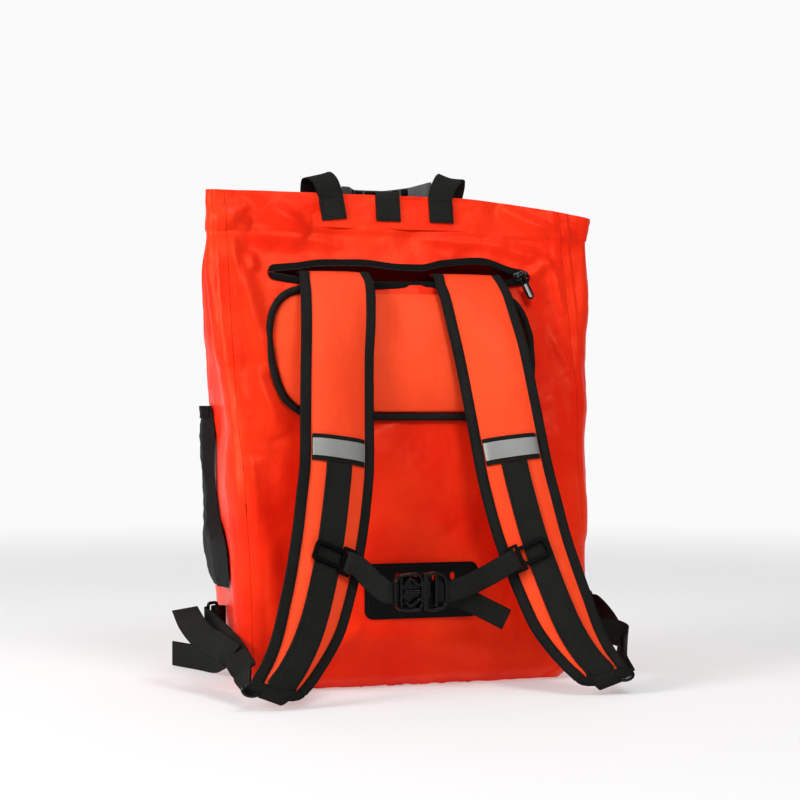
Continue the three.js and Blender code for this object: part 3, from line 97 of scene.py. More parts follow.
# Pads
PAD_BOTTOM = 259.0
PAD_TOP = 376.0
PAD_THICKNESS = 13.0
PAD_EDGE = 5.0
PIPING_WIDTH = 7.0
PATCH_HALF_WIDTH = 56.0
PATCH_BOTTOM = 66.0
PATCH_HEIGHT = 52.0
PATCH_CORNER = 8.0
PATCH_THICKNESS = 2.0
SLOT_SPACING = 18.0
SLOT_COUNT = 5
SLOT_WIDTH = 5.0
SLOT_HEIGHT = 8.0
SLOT_DROP = 13.0
SLOT_SHIFT = -6.0

# Mouth tabs and handle
WEBBING = 25.0
WEBBING_THICKNESS = 1.6
TAB_SPACING = 55.0
TAB_MIDDLE = -9.0
TAB_SEWN = 24.0
TAB_DROP = 26.0
TAB_LOOP = 18.0
TAB_PATCH_HALF_WIDTH = 86.0
TAB_PATCH_MIDDLE = -5.0
TAB_PATCH_HEIGHT = 30.0
TAB_PATCH_BOTTOM = 440.0
HANDLE_HALF_LENGTH = 48.0
HANDLE_WIDTH = 28.0
HANDLE_THICKNESS = 4.0
HANDLE_BOW = 24.0
HANDLE_MIDDLE = -2.0
HANDLE_LIFT = 10.0
HANDLE_RISE = 8.0

# Shoulder straps
STRAP_TOP_OFFSET = 68.0
STRAP_FLARE = {-1: 94.0, 1: 81.0}
STRAP_REACH = 100.0
STRAP_HALF_WIDTH = 37.0
STRAP_HALF_THICKNESS = 5.0
STRAP_TOE = 10.0
BINDING_WIDTH = 10.0
BINDING_THICKNESS = 1.1
BINDING_EDGE = 1.6
CROSSBAND_HEIGHT = 24.0
CROSSBAND_THICKNESS = 1.2
REFLECTOR_HEIGHT = 16.0
REFLECTOR_THICKNESS = 0.6
CROSSBAND_DROP = 0.432
GLIDE_DROP = 0.672

# Sternum strap
STERNUM_WEBBING = 20.0
STERNUM_THICKNESS = 1.4
GLIDE_LENGTH = 31.0
GLIDE_THICKNESS = 3.0
GLIDE_TURN = {-1: 7.0, 1: -8.0}
GLIDE_SHIFT = {-1: 0.0, 1: -6.0}
STERNUM_PIN = 1.5
BUCKLE_LENGTH = 48.0
BUCKLE_THICKNESS = 8.0
BUCKLE_HEIGHT = 97.0
BUCKLE_OFFSET = -21.0
BUCKLE_STAND_OFF = 62.0
STERNUM_TAIL_LENGTH = 72.0

# Lower anchors and loose ends
ANCHOR_HEIGHT = 62.0
ANCHOR_SET_BACK = 18.0
ANCHOR_TAB = {-1: 9.0, 1: 27.0}
RING_WIRE = 1.7
RING_WIDTH = 11.0
LOCK_THICKNESS = 5.0
FLOOR_TAIL_LENGTH = 112.0

# Side pocket
POCKET_TOP = 266.0
POCKET_BOTTOM = 96.0
POCKET_FRONT = -46.0
POCKET_BACK = 44.0
POCKET_BULGE = 13.0
POCKET_HEM = 12.0

# Shares of the sizes above, by height up the bag
DEPTHS = (
    (0, 0.86, 0.85, 0.75, 0), (0.03, 0.96, 0.95, 1, 0.4), (0.084, 0.99, 0.99, 1, 0.8), (0.169, 1, 1, 1, 1),
    (0.275, 0.98, 0.97, 1, 1), (0.422, 0.88, 0.85, 0.92, 1), (0.527, 0.775, 0.72, 0.83, 0.8),
    (0.633, 0.633, 0.58, 0.75, 0.6), (0.738, 0.49, 0.41, 0.62, 0.4), (0.833, 0.367, 0.23, 0.5, 0.2),
    (0.916, 0.245, 0.065, 0.33, 0), (1, 0.163, -0.05, 0.24, 0),
)
WIDTHS = (
    (0, 0.772, 0.721, 0, 0.80, 0), (0.03, 0.843, 0.777, 0, 0.89, 0), (0.084, 0.873, 0.812, 0, 0.93, 0),
    (0.169, 0.888, 0.832, 0, 0.94, 0), (0.275, 0.898, 0.843, 0, 0.95, 0), (0.422, 0.919, 0.873, 0.1, 0.965,
                                                                           0.1),
    (0.527, 0.925, 0.893, 0.32, 0.985, 0.4), (0.633, 0.948, 0.924, 0.25, 0.995, 0.8),
    (0.738, 0.98, 0.954, 0.4, 1, 1), (0.833, 1, 0.975, 0.53, 1, 0.7), (0.916, 1, 0.99, 0.8, 1, 0.1),
    (1, 1, 1, 0.9, 1, 0),
)
SLIT_LIPS = (
    (-1, 0, 0), (-0.8, 0.16, 0.22), (-0.6, 0.41, 0.34), (-0.3, 0.47, 0.47), (0, 0.25, 0.44), (0.15, 0.25,
                                                                                              0.41),
    (0.32, 0.56, 0.38), (0.62, 0.78, 0.25), (0.88, 0.16, 0.09), (1, 0, 0),
)
STRAP_HANG = (
    (0.022, 0, 0.08, 1, 0.45, 0), (0.055, 0.02, 0.16, 1, 0.6, 0.2), (0.112, 0.05, 0.215, 1, 0.9, 0.5),
    (0.195, 0.10, 0.26, 1, 1, 1), (0.34, 0.16, 0.29, 1, 1, 1), (0.467, 0.21, 0.34, 1, 1, 1),
    (0.549, 0.27, 0.38, 1, 1, 1), (0.638, 0.35, 0.44, 0.98, 1, 1), (0.714, 0.44, 0.53, 0.95, 1, 1),
    (0.805, 0.57, 0.65, 0.91, 0.95, 1), (0.858, 0.67, 0.73, 0.88, 0.9, 1), (0.904, 0.79, 0.82, 0.86, 0.85,
                                                                            1),
    (0.933, 0.89, 0.90, 0.82, 0.8, 1),
)
POCKET_SHAPE = (
    (0, -0.24, 0.6, 0.62), (0.04, -0.24, 0.8, 0.7), (0.1, -0.22, 0.9, 0.8), (0.22, -0.1, 1, 1), (0.36, 0.34,
                                                                                                 0.9, 1),
    (0.5, 0.6, 0.7, 1), (0.66, 0.66, 0.75, 1), (0.82, 0.66, 0.9, 1), (0.93, 0.72, 0.65, 1), (1, 0.76, 0.6,
                                                                                             1),
)

SIDES = {-1: "left", 1: "right"}


def clamp(value, low=0.0, high=1.0):
    return max(low, min(high, value))


def ease(value):
    """A soft step from 0 to 1."""
    value = clamp(value)
    return value * value * (3 - 2 * value)


def spread(start, end, count):
    return [start + (end - start) * i / count for i in range(count + 1)]


def signed_power(value, power):
    return math.copysign(abs(value) ** power, value)


def rounded_section(count, half, rise, across_power, off_power):
    """A rounded box by its half width and half height; lower powers give squarer corners."""
    angles = [2 * math.pi * k / count for k in range(count)]
    return [(signed_power(math.cos(a), across_power) * half, signed_power(math.sin(a), off_power) * rise)
            for a in angles]


class Line:
    """A smooth line through given points that doesn't swing past them."""

    def __init__(self, rows, column):
        self.at = [float(row[0]) for row in rows]
        self.values = [float(row[column]) for row in rows]
        steps = []
        for i in range(len(rows) - 1):
            steps.append((self.values[i + 1] - self.values[i]) / (self.at[i + 1] - self.at[i]))
        self.slopes = [steps[0]]
        for before, after in zip(steps, steps[1:]):
            if before * after <= 0:
                self.slopes.append(0.0)
            else:
                self.slopes.append(2 * before * after / (before + after))
        self.slopes.append(steps[-1])

    def __call__(self, place):
        if place <= self.at[0]:
            return self.values[0]
        if place >= self.at[-1]:
            return self.values[-1]
        i = 0
        while self.at[i + 1] < place:
            i += 1
        length = self.at[i + 1] - self.at[i]
        t = (place - self.at[i]) / length
        low, high = self.values[i], self.values[i + 1]
        start, end = self.slopes[i] * length, self.slopes[i + 1] * length
        return (
            low * (2 * t ** 3 - 3 * t ** 2 + 1) + start * (t ** 3 - 2 * t ** 2 + t)
            + high * (3 * t ** 2 - 2 * t ** 3) + end * (t ** 3 - t ** 2)
        )


depth_back, depth_front, depth_corner, depth_crown = (Line(DEPTHS, i) for i in range(1, 5))
width_back, width_front, width_lean, width_seam, width_fold = (Line(WIDTHS, i) for i in range(1, 6))
lip_rise, lip_sag = (Line(SLIT_LIPS, i) for i in (1, 2))
hang_flare, hang_out, hang_width, hang_thick, hang_toe = (Line(STRAP_HANG, i) for i in range(1, 6))
pocket_front_share, pocket_bulge_share, pocket_back_share = (Line(POCKET_SHAPE, i) for i in (1, 2, 3))


@lru_cache(maxsize=None)
def section_at(z):
    up = z / BAG_HEIGHT
    return {
        "back": -depth_back(up) * BACK_REACH,
        "front": depth_front(up) * FRONT_REACH,
        "back_half": width_back(up) * BAG_HALF_WIDTH,
        "front_half": width_front(up) * BAG_HALF_WIDTH,
        "corner": depth_corner(up) * CORNER_RADIUS,
        "lean": width_lean(up) * MOUTH_LEAN,
        "seam": width_seam(up) * SEAM_HALF_WIDTH,
        "crown": depth_crown(up) * PANEL_CROWN,
        "fold": width_fold(up) * GUSSET_FOLD,
    }


def back_face(x, z):
    """Depth of the back panel's outer face."""
    s = section_at(round(z, 2))
    side = -1 if x < 0 else 1
    flat = s["back_half"] - s["corner"] + side * s["lean"]
    bend = max(0.0, 1 - (x / s["seam"]) ** 2)
    beyond = min(max(0.0, abs(x) - flat), s["corner"])
    turn = s["corner"] - math.sqrt(s["corner"] ** 2 - beyond ** 2)
    return s["back"] - s["crown"] * bend + turn


def on_back(x, z, off):
    return Vector((x, back_face(x, z) - off, z))


def side_face(side, y, z):
    s = section_at(round(z, 2))
    low = s["back"] + s["corner"]
    high = s["front"] - s["corner"]
    part = clamp((y - low) / (high - low))
    half = s["back_half"] + (s["front_half"] - s["back_half"]) * part
    return side * (half - s["fold"] * math.sin(math.pi * part) ** 2) + s["lean"]


def drooped(point):
    """The right end of the mouth droops, from the hem weld up."""
    across = (max(0.0, point.x - DROOP_START) / (BAG_HALF_WIDTH + MOUTH_LEAN - DROOP_START)) ** 1.5
    up = max(0.0, point.z - WELD_HEIGHT) / (BAG_HEIGHT - WELD_HEIGHT)
    return Vector((point.x, point.y, point.z - MOUTH_DROOP * across * up))


@lru_cache(maxsize=None)
def half_loop(z, side):
    """Half of the section's outline, from the middle of the back to the middle of the front, and its marks."""
    s = section_at(z)
    flat = s["back_half"] - s["corner"] + side * s["lean"]
    front_flat = s["front_half"] - s["corner"] + side * s["lean"]
    corner = s["corner"]
    points = []
    for i in range(25):
        x = flat * i / 24
        points.append((x, s["back"] - s["crown"] * max(0.0, 1 - (x / s["seam"]) ** 2)))
    for i in range(1, 13):
        angle = math.pi / 2 * i / 12
        points.append((flat + corner * math.sin(angle), s["back"] + corner * (1 - math.cos(angle))))
    for i in range(1, 16):
        part = i / 16
        x = flat + (front_flat - flat) * part + corner - s["fold"] * math.sin(math.pi * part) ** 2
        points.append((x, s["back"] + corner + (s["front"] - s["back"] - 2 * corner) * part))
    for i in range(13):
        angle = math.pi / 2 * i / 12
        points.append((front_flat + corner * math.cos(angle), s["front"] - corner * (1 - math.sin(angle))))
    for i in range(1, 17):
        points.append((front_flat * (1 - i / 16), s["front"]))
    points = [Vector((side * x, y, z)) for x, y in points]
    lengths = [0.0]
    for before, after in zip(points, points[1:]):
        lengths.append(lengths[-1] + (after - before).length)
    i = 1
    while abs(points[i].x) < s["seam"]:
        i += 1
    reach = abs(points[i].x) - abs(points[i - 1].x)
    seam = lengths[i - 1] + (s["seam"] - abs(points[i - 1].x)) / reach * (lengths[i] - lengths[i - 1])
    return points, lengths, seam, lengths[58]


def loop_point(z, side, distance):
    points, lengths, _, _ = half_loop(z, side)
    low, high = 1, len(points) - 1
    while low < high:
        middle = (low + high) // 2
        if lengths[middle] < distance:
            low = middle + 1
        else:
            high = middle
    part = (distance - lengths[low - 1]) / (lengths[low] - lengths[low - 1])
    along = (points[low] - points[low - 1]).normalized()
    outward = Vector((along.y * side, -along.x * side, 0))
    return points[low - 1].lerp(points[low], part), outward


# ---------------------------------------------------------------- making pieces

SHADE_ANGLE = math.radians(40)
FIRM_ANGLE = math.radians(50)
SOFT_ANGLE = math.radians(60)


def alone(piece):
    bpy.ops.object.select_all(action="DESELECT")
    piece.select_set(True)
    bpy.context.view_layer.objects.active = piece


def applied(piece, kind, **settings):
    """Adds a modifier with its settings and applies it."""
    alone(piece)
    modifier = piece.modifiers.new(kind.lower(), kind)
    for name, value in settings.items():
        setattr(modifier, name, value)
    bpy.ops.object.modifier_apply(modifier=modifier.name)


def edited(piece, *steps):
    """Runs edit-mode steps on all of a piece."""
    alone(piece)
    bpy.ops.object.mode_set(mode="EDIT")
    bpy.ops.mesh.select_all(action="SELECT")
    for step in steps:
        step()
    bpy.ops.object.mode_set(mode="OBJECT")


def merged():
    bpy.ops.mesh.remove_doubles(threshold=1e-6)


def faced_out():
    bpy.ops.mesh.normals_make_consistent(inside=False)


def shaded(piece, angle=SHADE_ANGLE):
    alone(piece)
    bpy.ops.object.shade_smooth_by_angle(angle=angle)


def sized_pattern(piece, width, length):
    """Gives the piece's UV map real sizes, so that a weave has one scale everywhere."""
    for corner in piece.data.uv_layers.active.data:
        corner.uv = (corner.uv[0] * width * MM, corner.uv[1] * length * MM)


def cloth_grid(name, columns, rows, place):
    """A grid whose point at (u, v), each from 0 to 1, goes to place(u, v), in millimetres."""
    bpy.ops.object.select_all(action="DESELECT")
    bpy.ops.mesh.primitive_grid_add(x_subdivisions=columns, y_subdivisions=rows, size=1)
    piece = bpy.context.object
    piece.name = name
    piece.data.name = name
    for point in piece.data.vertices:
        u = round((point.co.x + 0.5) * columns) / columns
        v = round((point.co.y + 0.5) * rows) / rows
        point.co = place(u, v) * MM
    return piece


def thickened(piece, thickness, outward, offset=-1.0):
    """Turns an open sheet's faces the given way and gives it its thickness."""
    mesh = piece.data
    facing = sum(face.area * face.normal.dot(Vector(outward)) for face in mesh.polygons)
    if facing < 0:
        mesh.flip_normals()
    applied(piece, "SOLIDIFY", thickness=thickness * MM, offset=offset, use_even_offset=False)


def swept(name, stations, profile_at, closed=False):
    """A closed body swept through stations {p, w, n}; profile_at(station, i) gives its section in (w, n)."""
    profiles = [profile_at(station, i) for i, station in enumerate(stations)]
    count = len(profiles[0])
    rows = len(stations) if closed else len(stations) - 1

    def place(u, v):
        i = round(v * rows) % len(stations)
        across, off = profiles[i][round(u * count) % count]
        station = stations[i]
        return station["p"] + station["w"] * across + station["n"] * off

    piece = cloth_grid(name, count, rows, place)
    length = sum((b["p"] - a["p"]).length for a, b in zip(stations, stations[1:]))
    girth = 0.0
    middle = profiles[len(profiles) // 2]
    for (a, b), (c, d) in zip(middle, middle[1:] + middle[:1]):
        girth += math.hypot(c - a, d - b)
    sized_pattern(piece, girth, length)
    edited(piece, merged)
    if not closed:
        capped(piece)
    edited(piece, faced_out)
    return piece


def capped(piece):
    """Closes both open ends of a swept body."""
    for _ in range(2):
        alone(piece)
        bpy.ops.object.mode_set(mode="EDIT")
        bpy.ops.mesh.select_all(action="DESELECT")
        bpy.ops.mesh.select_non_manifold(extend=False, use_wire=False, use_boundary=True,
                                         use_multi_face=False, use_non_contiguous=False, use_verts=False)
        bpy.ops.object.mode_set(mode="OBJECT")
        rims = [edge for edge in piece.data.edges if edge.select]
        if not rims:
            return
        around = {}
        for edge in rims:
            for a, b in (edge.vertices, reversed(edge.vertices)):
                around.setdefault(a, []).append(b)
        ring = {rims[0].vertices[0]}
        wave = list(ring)
        while wave:
            point = wave.pop()
            for other in around[point]:
                if other not in ring:
                    ring.add(other)
                    wave.append(other)
        for part in (piece.data.vertices, piece.data.edges, piece.data.polygons):
            for item in part:
                item.select = False
        for edge in rims:
            if edge.vertices[0] in ring:
                edge.select = True
        for index in ring:
            piece.data.vertices[index].select = True
        bpy.ops.object.mode_set(mode="EDIT")
        bpy.ops.mesh.edge_face_add()
        bpy.ops.object.mode_set(mode="OBJECT")


def neighbours(places, closed=False):
    """The places before and after each one; an open row's ends stand for themselves."""
    last = len(places) - 1
    if closed:
        return [(places[i - 1], places[(i + 1) % len(places)]) for i in range(len(places))]
    return [(places[max(i - 1, 0)], places[min(i + 1, last)]) for i in range(len(places))]


def stations_along(route, closed=False):
    """Squares each row {p, w} of a route up to the route's direction."""
    stations = []
    for row, (before, after) in zip(route, neighbours([row["p"] for row in route], closed)):
        along = (after - before).normalized()
        n = along.cross(row["w"]).normalized()
        stations.append({**row, "t": along, "n": n, "w": n.cross(along).normalized()})
    return stations


def smooth_route(route, step=3.0):
    """A finer route on a smooth line through the given rows (p, w)."""
    points = [row["p"] for row in route]
    first = points[0] * 2 - points[1]
    last = points[-1] * 2 - points[-2]
    points = [first, *points, last]
    fine = []
    for i in range(1, len(points) - 2):
        a, b, c, d = points[i - 1:i + 3]
        knots = [0.0]
        for start, end in ((a, b), (b, c), (c, d)):
            knots.append(knots[-1] + max((end - start).length, 1e-6) ** 0.5)
        parts = max(1, round((c - b).length / step))
        for k in range(parts):
            t = knots[1] + (knots[2] - knots[1]) * k / parts
            fine.append({"p": on_curve((a, b, c, d), knots, t),
                         "w": route[i - 1]["w"].lerp(route[i]["w"], ease(k / parts)).normalized()})
    fine.append({"p": points[-2], "w": route[-1]["w"].normalized()})
    return fine


def on_curve(points, knots, t):
    """The point at t on a centripetal curve through four points."""
    a, b, c, d = points
    k0, k1, k2, k3 = knots
    ab = a * ((k1 - t) / (k1 - k0)) + b * ((t - k0) / (k1 - k0))
    bc = b * ((k2 - t) / (k2 - k1)) + c * ((t - k1) / (k2 - k1))
    cd = c * ((k3 - t) / (k3 - k2)) + d * ((t - k2) / (k3 - k2))
    abc = ab * ((k2 - t) / (k2 - k0)) + bc * ((t - k0) / (k2 - k0))
    bcd = bc * ((k3 - t) / (k3 - k1)) + cd * ((t - k1) / (k3 - k1))
    return abc * ((k2 - t) / (k2 - k1)) + bcd * ((t - k1) / (k2 - k1))


def band_section(width, thickness):
    """The section of woven webbing: flat faces and rounded selvedges."""
    half, rise = width / 2, thickness / 2
    lower = [(-half, 0), (-half + 0.25, -rise * 0.75), (-half + 0.8, -rise)]
    lower += [(share * half, -rise) for share in (-0.5, 0, 0.5)]
    lower += [(half - 0.8, -rise), (half - 0.25, -rise * 0.75), (half, 0)]
    upper = [(across, -off) for across, off in reversed(lower[1:-1])]
    return lower + upper


def row(p, w):
    return {"p": Vector(p), "w": Vector(w)}


def smooth_path(places, step, ring):
    """Places on a smooth line through the given ones, or on a ring through them."""
    rows = [row(place, (0, 0, 1)) for place in places]
    fine = [station["p"] for station in smooth_route([*rows, rows[0]] if ring else rows, step)]
    return fine[:-1] if ring else fine


def cut(piece, cutter):
    applied(piece, "BOOLEAN", operation="DIFFERENCE", object=cutter, solver="EXACT")
    bpy.data.objects.remove(cutter)


def edge_rounded(piece, width):
    applied(piece, "BEVEL", width=width * MM, segments=2, limit_method="ANGLE", angle_limit=FIRM_ANGLE)


def sheet(name, columns, rows, place, width, length, thickness, outward):
    """A grid with a pattern of real size and a wall."""
    piece = cloth_grid(name, columns, rows, place)
    sized_pattern(piece, width, length)
    thickened(piece, thickness, outward)
    return piece


def dressed(piece, finish, body="bag", replaced=()):
    """Puts a finished piece on its body and in place of its CAD nodes."""
    piece.data.materials.clear()
    piece.data.materials.append(finish)
    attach(piece, body)
    if replaced:
        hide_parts(*replaced)
    return piece


def finished(piece, finish, body="bag", replaced=(), angle=SHADE_ANGLE):
    shaded(piece, angle)
    return dressed(piece, finish, body, replaced)


def band(name, route, replaced, step=2.0, width=WEBBING, thickness=WEBBING_THICKNESS):
    """Webbing along a route, in place of a CAD node."""
    section = band_section(width, thickness)
    piece = swept(name, stations_along(smooth_route(route, step)), lambda station, i: section)
    return finished(piece, WEB, replaced=(replaced,))


def puffed(piece, pressure, cap, held):
    """Fills a closed cloth piece with air, no point further than cap millimetres, and keeps the result."""
    rest = [point.co.copy() for point in piece.data.vertices]
    alone(piece)
    cloth = piece.modifiers.new("filling", "CLOTH")
    cloth.settings.quality = 6
    cloth.settings.use_pressure = True
    cloth.settings.uniform_pressure_force = pressure
    cloth.settings.effector_weights.gravity = 0
    cloth.collision_settings.use_collision = False
    cloth.settings.vertex_group_mass = held
    for step in range(1, 21):
        bpy.context.scene.frame_set(step)
    bpy.ops.object.modifier_apply(modifier=cloth.name)
    bpy.context.scene.frame_set(1)
    for point, before in zip(piece.data.vertices, rest):
        move = point.co - before
        if move.length > cap * MM:
            point.co = before + move.normalized() * cap * MM


# ---------------------------------------------------------------- finishes


class Term:
    """A number that varies over a surface; arithmetic on it adds the material's Math nodes."""

    def __init__(self, finish, socket):
        self.finish = finish
        self.socket = socket

    def maths(self, operation, *others):
        return self.finish.maths(operation, self, *others)

    def __add__(self, other):
        return self.maths("ADD", other)

    __radd__ = __add__

    def __sub__(self, other):
        return self.maths("SUBTRACT", other)

    def __rsub__(self, other):
        return self.finish.maths("SUBTRACT", other, self)

    def __mul__(self, other):
        return self.maths("MULTIPLY", other)

    __rmul__ = __mul__

    def __truediv__(self, other):
        return self.maths("DIVIDE", other)

    def __abs__(self):
        return self.maths("ABSOLUTE")

    def __lt__(self, other):
        return self.maths("LESS_THAN", other)

    def sine(self):
        return self.maths("SINE")

    def power(self, other):
        return self.maths("POWER", other)

    def wrapped(self):
        return self.maths("FRACT")

    def most(self, other):
        return self.maths("MAXIMUM", other)

    def step(self, low, high):
        """A soft step from 0 at low to 1 at high."""
        node = self.finish.node("ShaderNodeMapRange", {"interpolation_type": "SMOOTHSTEP"},
                                {"Value": self, "From Min": low, "From Max": high})
        return Term(self.finish, node.outputs["Result"])


class Finish:
    """A procedural material, built from expressions."""

    def __init__(self, name):
        self.material = bpy.data.materials.new(name)
        self.material.use_nodes = True
        self.tree = self.material.node_tree
        self.surface = self.tree.nodes["Principled BSDF"]
        self.places = self.tree.nodes.new("ShaderNodeTexCoord")

    def node(self, kind, settings=None, values=None):
        """A node of a type, with its settings first and then the values or links of its sockets."""
        made = self.tree.nodes.new(kind)
        for name, value in (settings or {}).items():
            setattr(made, name, value)
        for name, value in (values or {}).items():
            self.feed(made.inputs[name], value)
        return made

    def feed(self, socket, value):
        if isinstance(value, Term):
            self.tree.links.new(value.socket, socket)
        elif isinstance(value, bpy.types.NodeSocket):
            self.tree.links.new(value, socket)
        else:
            socket.default_value = value

    def maths(self, operation, *values):
        made = self.node("ShaderNodeMath", {"operation": operation}, dict(enumerate(values)))
        return Term(self, made.outputs[0])

    def axis(self, letter):
        parts = self.node("ShaderNodeSeparateXYZ", None, {0: self.places.outputs["Object"]})
        return Term(self, parts.outputs["XYZ".index(letter)])

    def pattern(self):
        """The UV map's two directions: across a band and along it."""
        parts = [self.node("ShaderNodeSeparateXYZ", None, {0: self.places.outputs["UV"]}) for _ in range(2)]
        return Term(self, parts[0].outputs[0]), Term(self, parts[1].outputs[1])

    def cloud(self, size, detail=2.0, roughness=0.5):
        """Soft random patches of about a size, in millimetres, from 0 to 1."""
        made = self.node("ShaderNodeTexNoise", None, {
            "Vector": self.places.outputs["Object"],
            "Scale": 1000.0 / size, "Detail": detail, "Roughness": roughness})
        return Term(self, made.outputs["Fac"])

    def grains(self, size):
        """Distance inside random grains of about a size, in millimetres."""
        made = self.node("ShaderNodeTexVoronoi", {"feature": "F1"}, {
            "Vector": self.places.outputs["Object"], "Scale": 1000.0 / size})
        return Term(self, made.outputs["Distance"])

    def mixed(self, share, low, high):
        """A colour between two, each a tuple or a colour socket."""
        made = self.node("ShaderNodeMix", {"data_type": "RGBA"})
        self.feed(made.inputs[0], share)
        for index, colour in ((6, low), (7, high)):
            self.feed(made.inputs[index], (*colour, 1.0) if isinstance(colour, tuple) else colour)
        return made.outputs[2]

    def relief(self, height, distance, strength=1.0, under=None):
        """A normal raised by a height from 0 to 1, over a distance in millimetres."""
        values = {"Height": height, "Distance": distance * MM, "Strength": strength}
        if under is not None:
            values["Normal"] = under
        made = self.node("ShaderNodeBump", None, values)
        return made.outputs["Normal"]

    def paint(self, **values):
        """Feeds the surface's sockets; underscores stand for spaces."""
        for name, value in values.items():
            socket = self.surface.inputs[name.replace("_", " ").title().replace("Ior", "IOR")]
            self.feed(socket, (*value, 1.0) if isinstance(value, tuple) and len(value) == 3 else value)
        return self.material


def coated_cloth(name, lit, shade_colour, gloss):
    """Satin coated cloth: a faint weave under the coat, soft patches of painted light and shade between a lit
    and a shaded copy of its colour, and rubbed places.
    """
    finish = Finish(name)
    painted_light_and_shade_patches = finish.cloud(90, 3)
    fine = finish.cloud(14, 3)
    across, along = finish.pattern()
    pitch = 2 * math.pi / (0.9 * MM)
    weave = (across * pitch).sine() * (along * pitch).sine() * 0.5 + 0.5
    dimples = finish.cloud(5, 2)
    # Painted light and shade: the colour mixes a shaded and a lit copy of the red in soft random patches.
    colour = finish.mixed(painted_light_and_shade_patches.step(0.3, 0.7) * 0.7 + weave * 0.08 + fine * 0.2, shade_colour, lit)
    rubbed = finish.cloud(32, 4, 0.6).step(0.45, 0.8)
    normal = finish.relief(weave, 0.05, 0.5)
    normal = finish.relief(dimples, 0.3, 0.4, normal)
    normal = finish.relief(finish.cloud(26, 3, 0.6), 2.4, 0.5, normal)
    return finish.paint(
        base_color=colour, roughness=rubbed * 0.16 + gloss + weave * 0.04, normal=normal,
        specular_ior_level=0.4, specular_tint=(1.0, 0.36, 0.2))


def woven_band(name, dark, light, pitch, gloss=0.72):
    """Webbing: fine herringbone columns along the band."""
    finish = Finish(name)
    across, along = finish.pattern()
    columns = (across / (3.0 * MM)).wrapped()
    slant = abs(columns - 0.5) * 2.0
    picks = ((along / (pitch * MM) + slant * 1.2) * (2 * math.pi)).sine() * 0.5 + 0.5
    ribs = (across * (2 * math.pi / (0.75 * MM))).sine() * 0.5 + 0.5
    height = picks * 0.75 + ribs * 0.25
    fuzz = finish.cloud(2.5, 3)
    wear = finish.cloud(30, 3)
    colour = finish.mixed((height * 0.65 + fuzz * 0.35) * (wear * 0.5 + 0.6), dark, light)
    normal = finish.relief(height, 0.4, 0.9)
    normal = finish.relief(fuzz, 0.2, 0.35, normal)
    return finish.paint(
        base_color=colour, roughness=gloss + fuzz * 0.18, normal=normal, specular_ior_level=0.12)


def smooth_plastic(name, dark, light, gloss, shine=0.3):
    """Moulded plastic: gloss with a slight unevenness and fine scuffs."""
    finish = Finish(name)
    soft = finish.cloud(8, 3)
    scuffs = finish.cloud(1.6, 4, 0.7).step(0.55, 0.8)
    colour = finish.mixed(soft * 0.6 + scuffs * 0.4, dark, light)
    normal = finish.relief(finish.cloud(3, 2), 0.06, 0.3)
    return finish.paint(
        base_color=colour, roughness=gloss + scuffs * 0.12 + soft * 0.06, normal=normal,
        specular_ior_level=shine)


def brushed_metal(name, dark, light, gloss):
    finish = Finish(name)
    soft = finish.cloud(4, 3)
    lines = finish.cloud(0.8, 4, 0.7)
    colour = finish.mixed(soft * 0.5 + lines * 0.5, dark, light)
    normal = finish.relief(lines, 0.04, 0.4)
    return finish.paint(base_color=colour, roughness=gloss + lines * 0.15, metallic=0.9, normal=normal)


def grained_rubber(name, dark, light, size, gloss):
    """Rubbery sheet with a fine pebble grain."""
    finish = Finish(name)
    grain = finish.grains(size)
    soft = finish.cloud(20, 3)
    colour = finish.mixed(grain * 0.6 + soft * 0.5, dark, light)
    normal = finish.relief(1 - grain, 0.25, 0.7)
    return finish.paint(base_color=colour, roughness=gloss + grain * 0.15, normal=normal,
                        specular_ior_level=0.12)


def reflective_tape(name):
    """Reflective tape: a satin grey of tiny cells."""
    finish = Finish(name)
    cells = finish.grains(0.9)
    soft = finish.cloud(25, 2)
    colour = finish.mixed(cells * 0.5 + soft * 0.5, (0.23, 0.235, 0.22), (0.34, 0.345, 0.325))
    normal = finish.relief(cells, 0.08, 0.5)
    return finish.paint(base_color=colour, roughness=0.42 + cells * 0.2, metallic=0.25, normal=normal)


def pocket_net(name):
    """Crumpled net: small round holes between dark threads."""
    finish = Finish(name)
    across, along = finish.pattern()
    pitch = 2 * math.pi / (2.4 * MM)
    slope = ((across + along * 0.6) * pitch).sine()
    other = ((across - along * 0.6) * pitch).sine()
    threads = (slope * slope).most(other * other)
    holes = threads < 0.28
    fuzz = finish.cloud(3, 3)
    colour = finish.mixed(fuzz * 0.5 + threads * 0.2, (0.001, 0.001, 0.001), (0.050, 0.050, 0.052))
    normal = finish.relief(threads, 0.4, 0.9)
    normal = finish.relief(finish.cloud(9, 3), 1.2, 0.5, normal)
    return finish.paint(
        base_color=colour, roughness=0.5 + fuzz * 0.2, normal=normal, alpha=1 - holes * 0.08,
        specular_ior_level=0.25)


# Each cloth is given a lit and a shaded copy of its colour, mixed in patches as painted light and shade.
RED = coated_cloth("shell_cloth", (0.94, 0.054, 0.014), (0.82, 0.020, 0.006), 0.36)
STRAP_RED = coated_cloth("strap_cloth", (0.95, 0.100, 0.034), (0.92, 0.080, 0.026), 0.42)
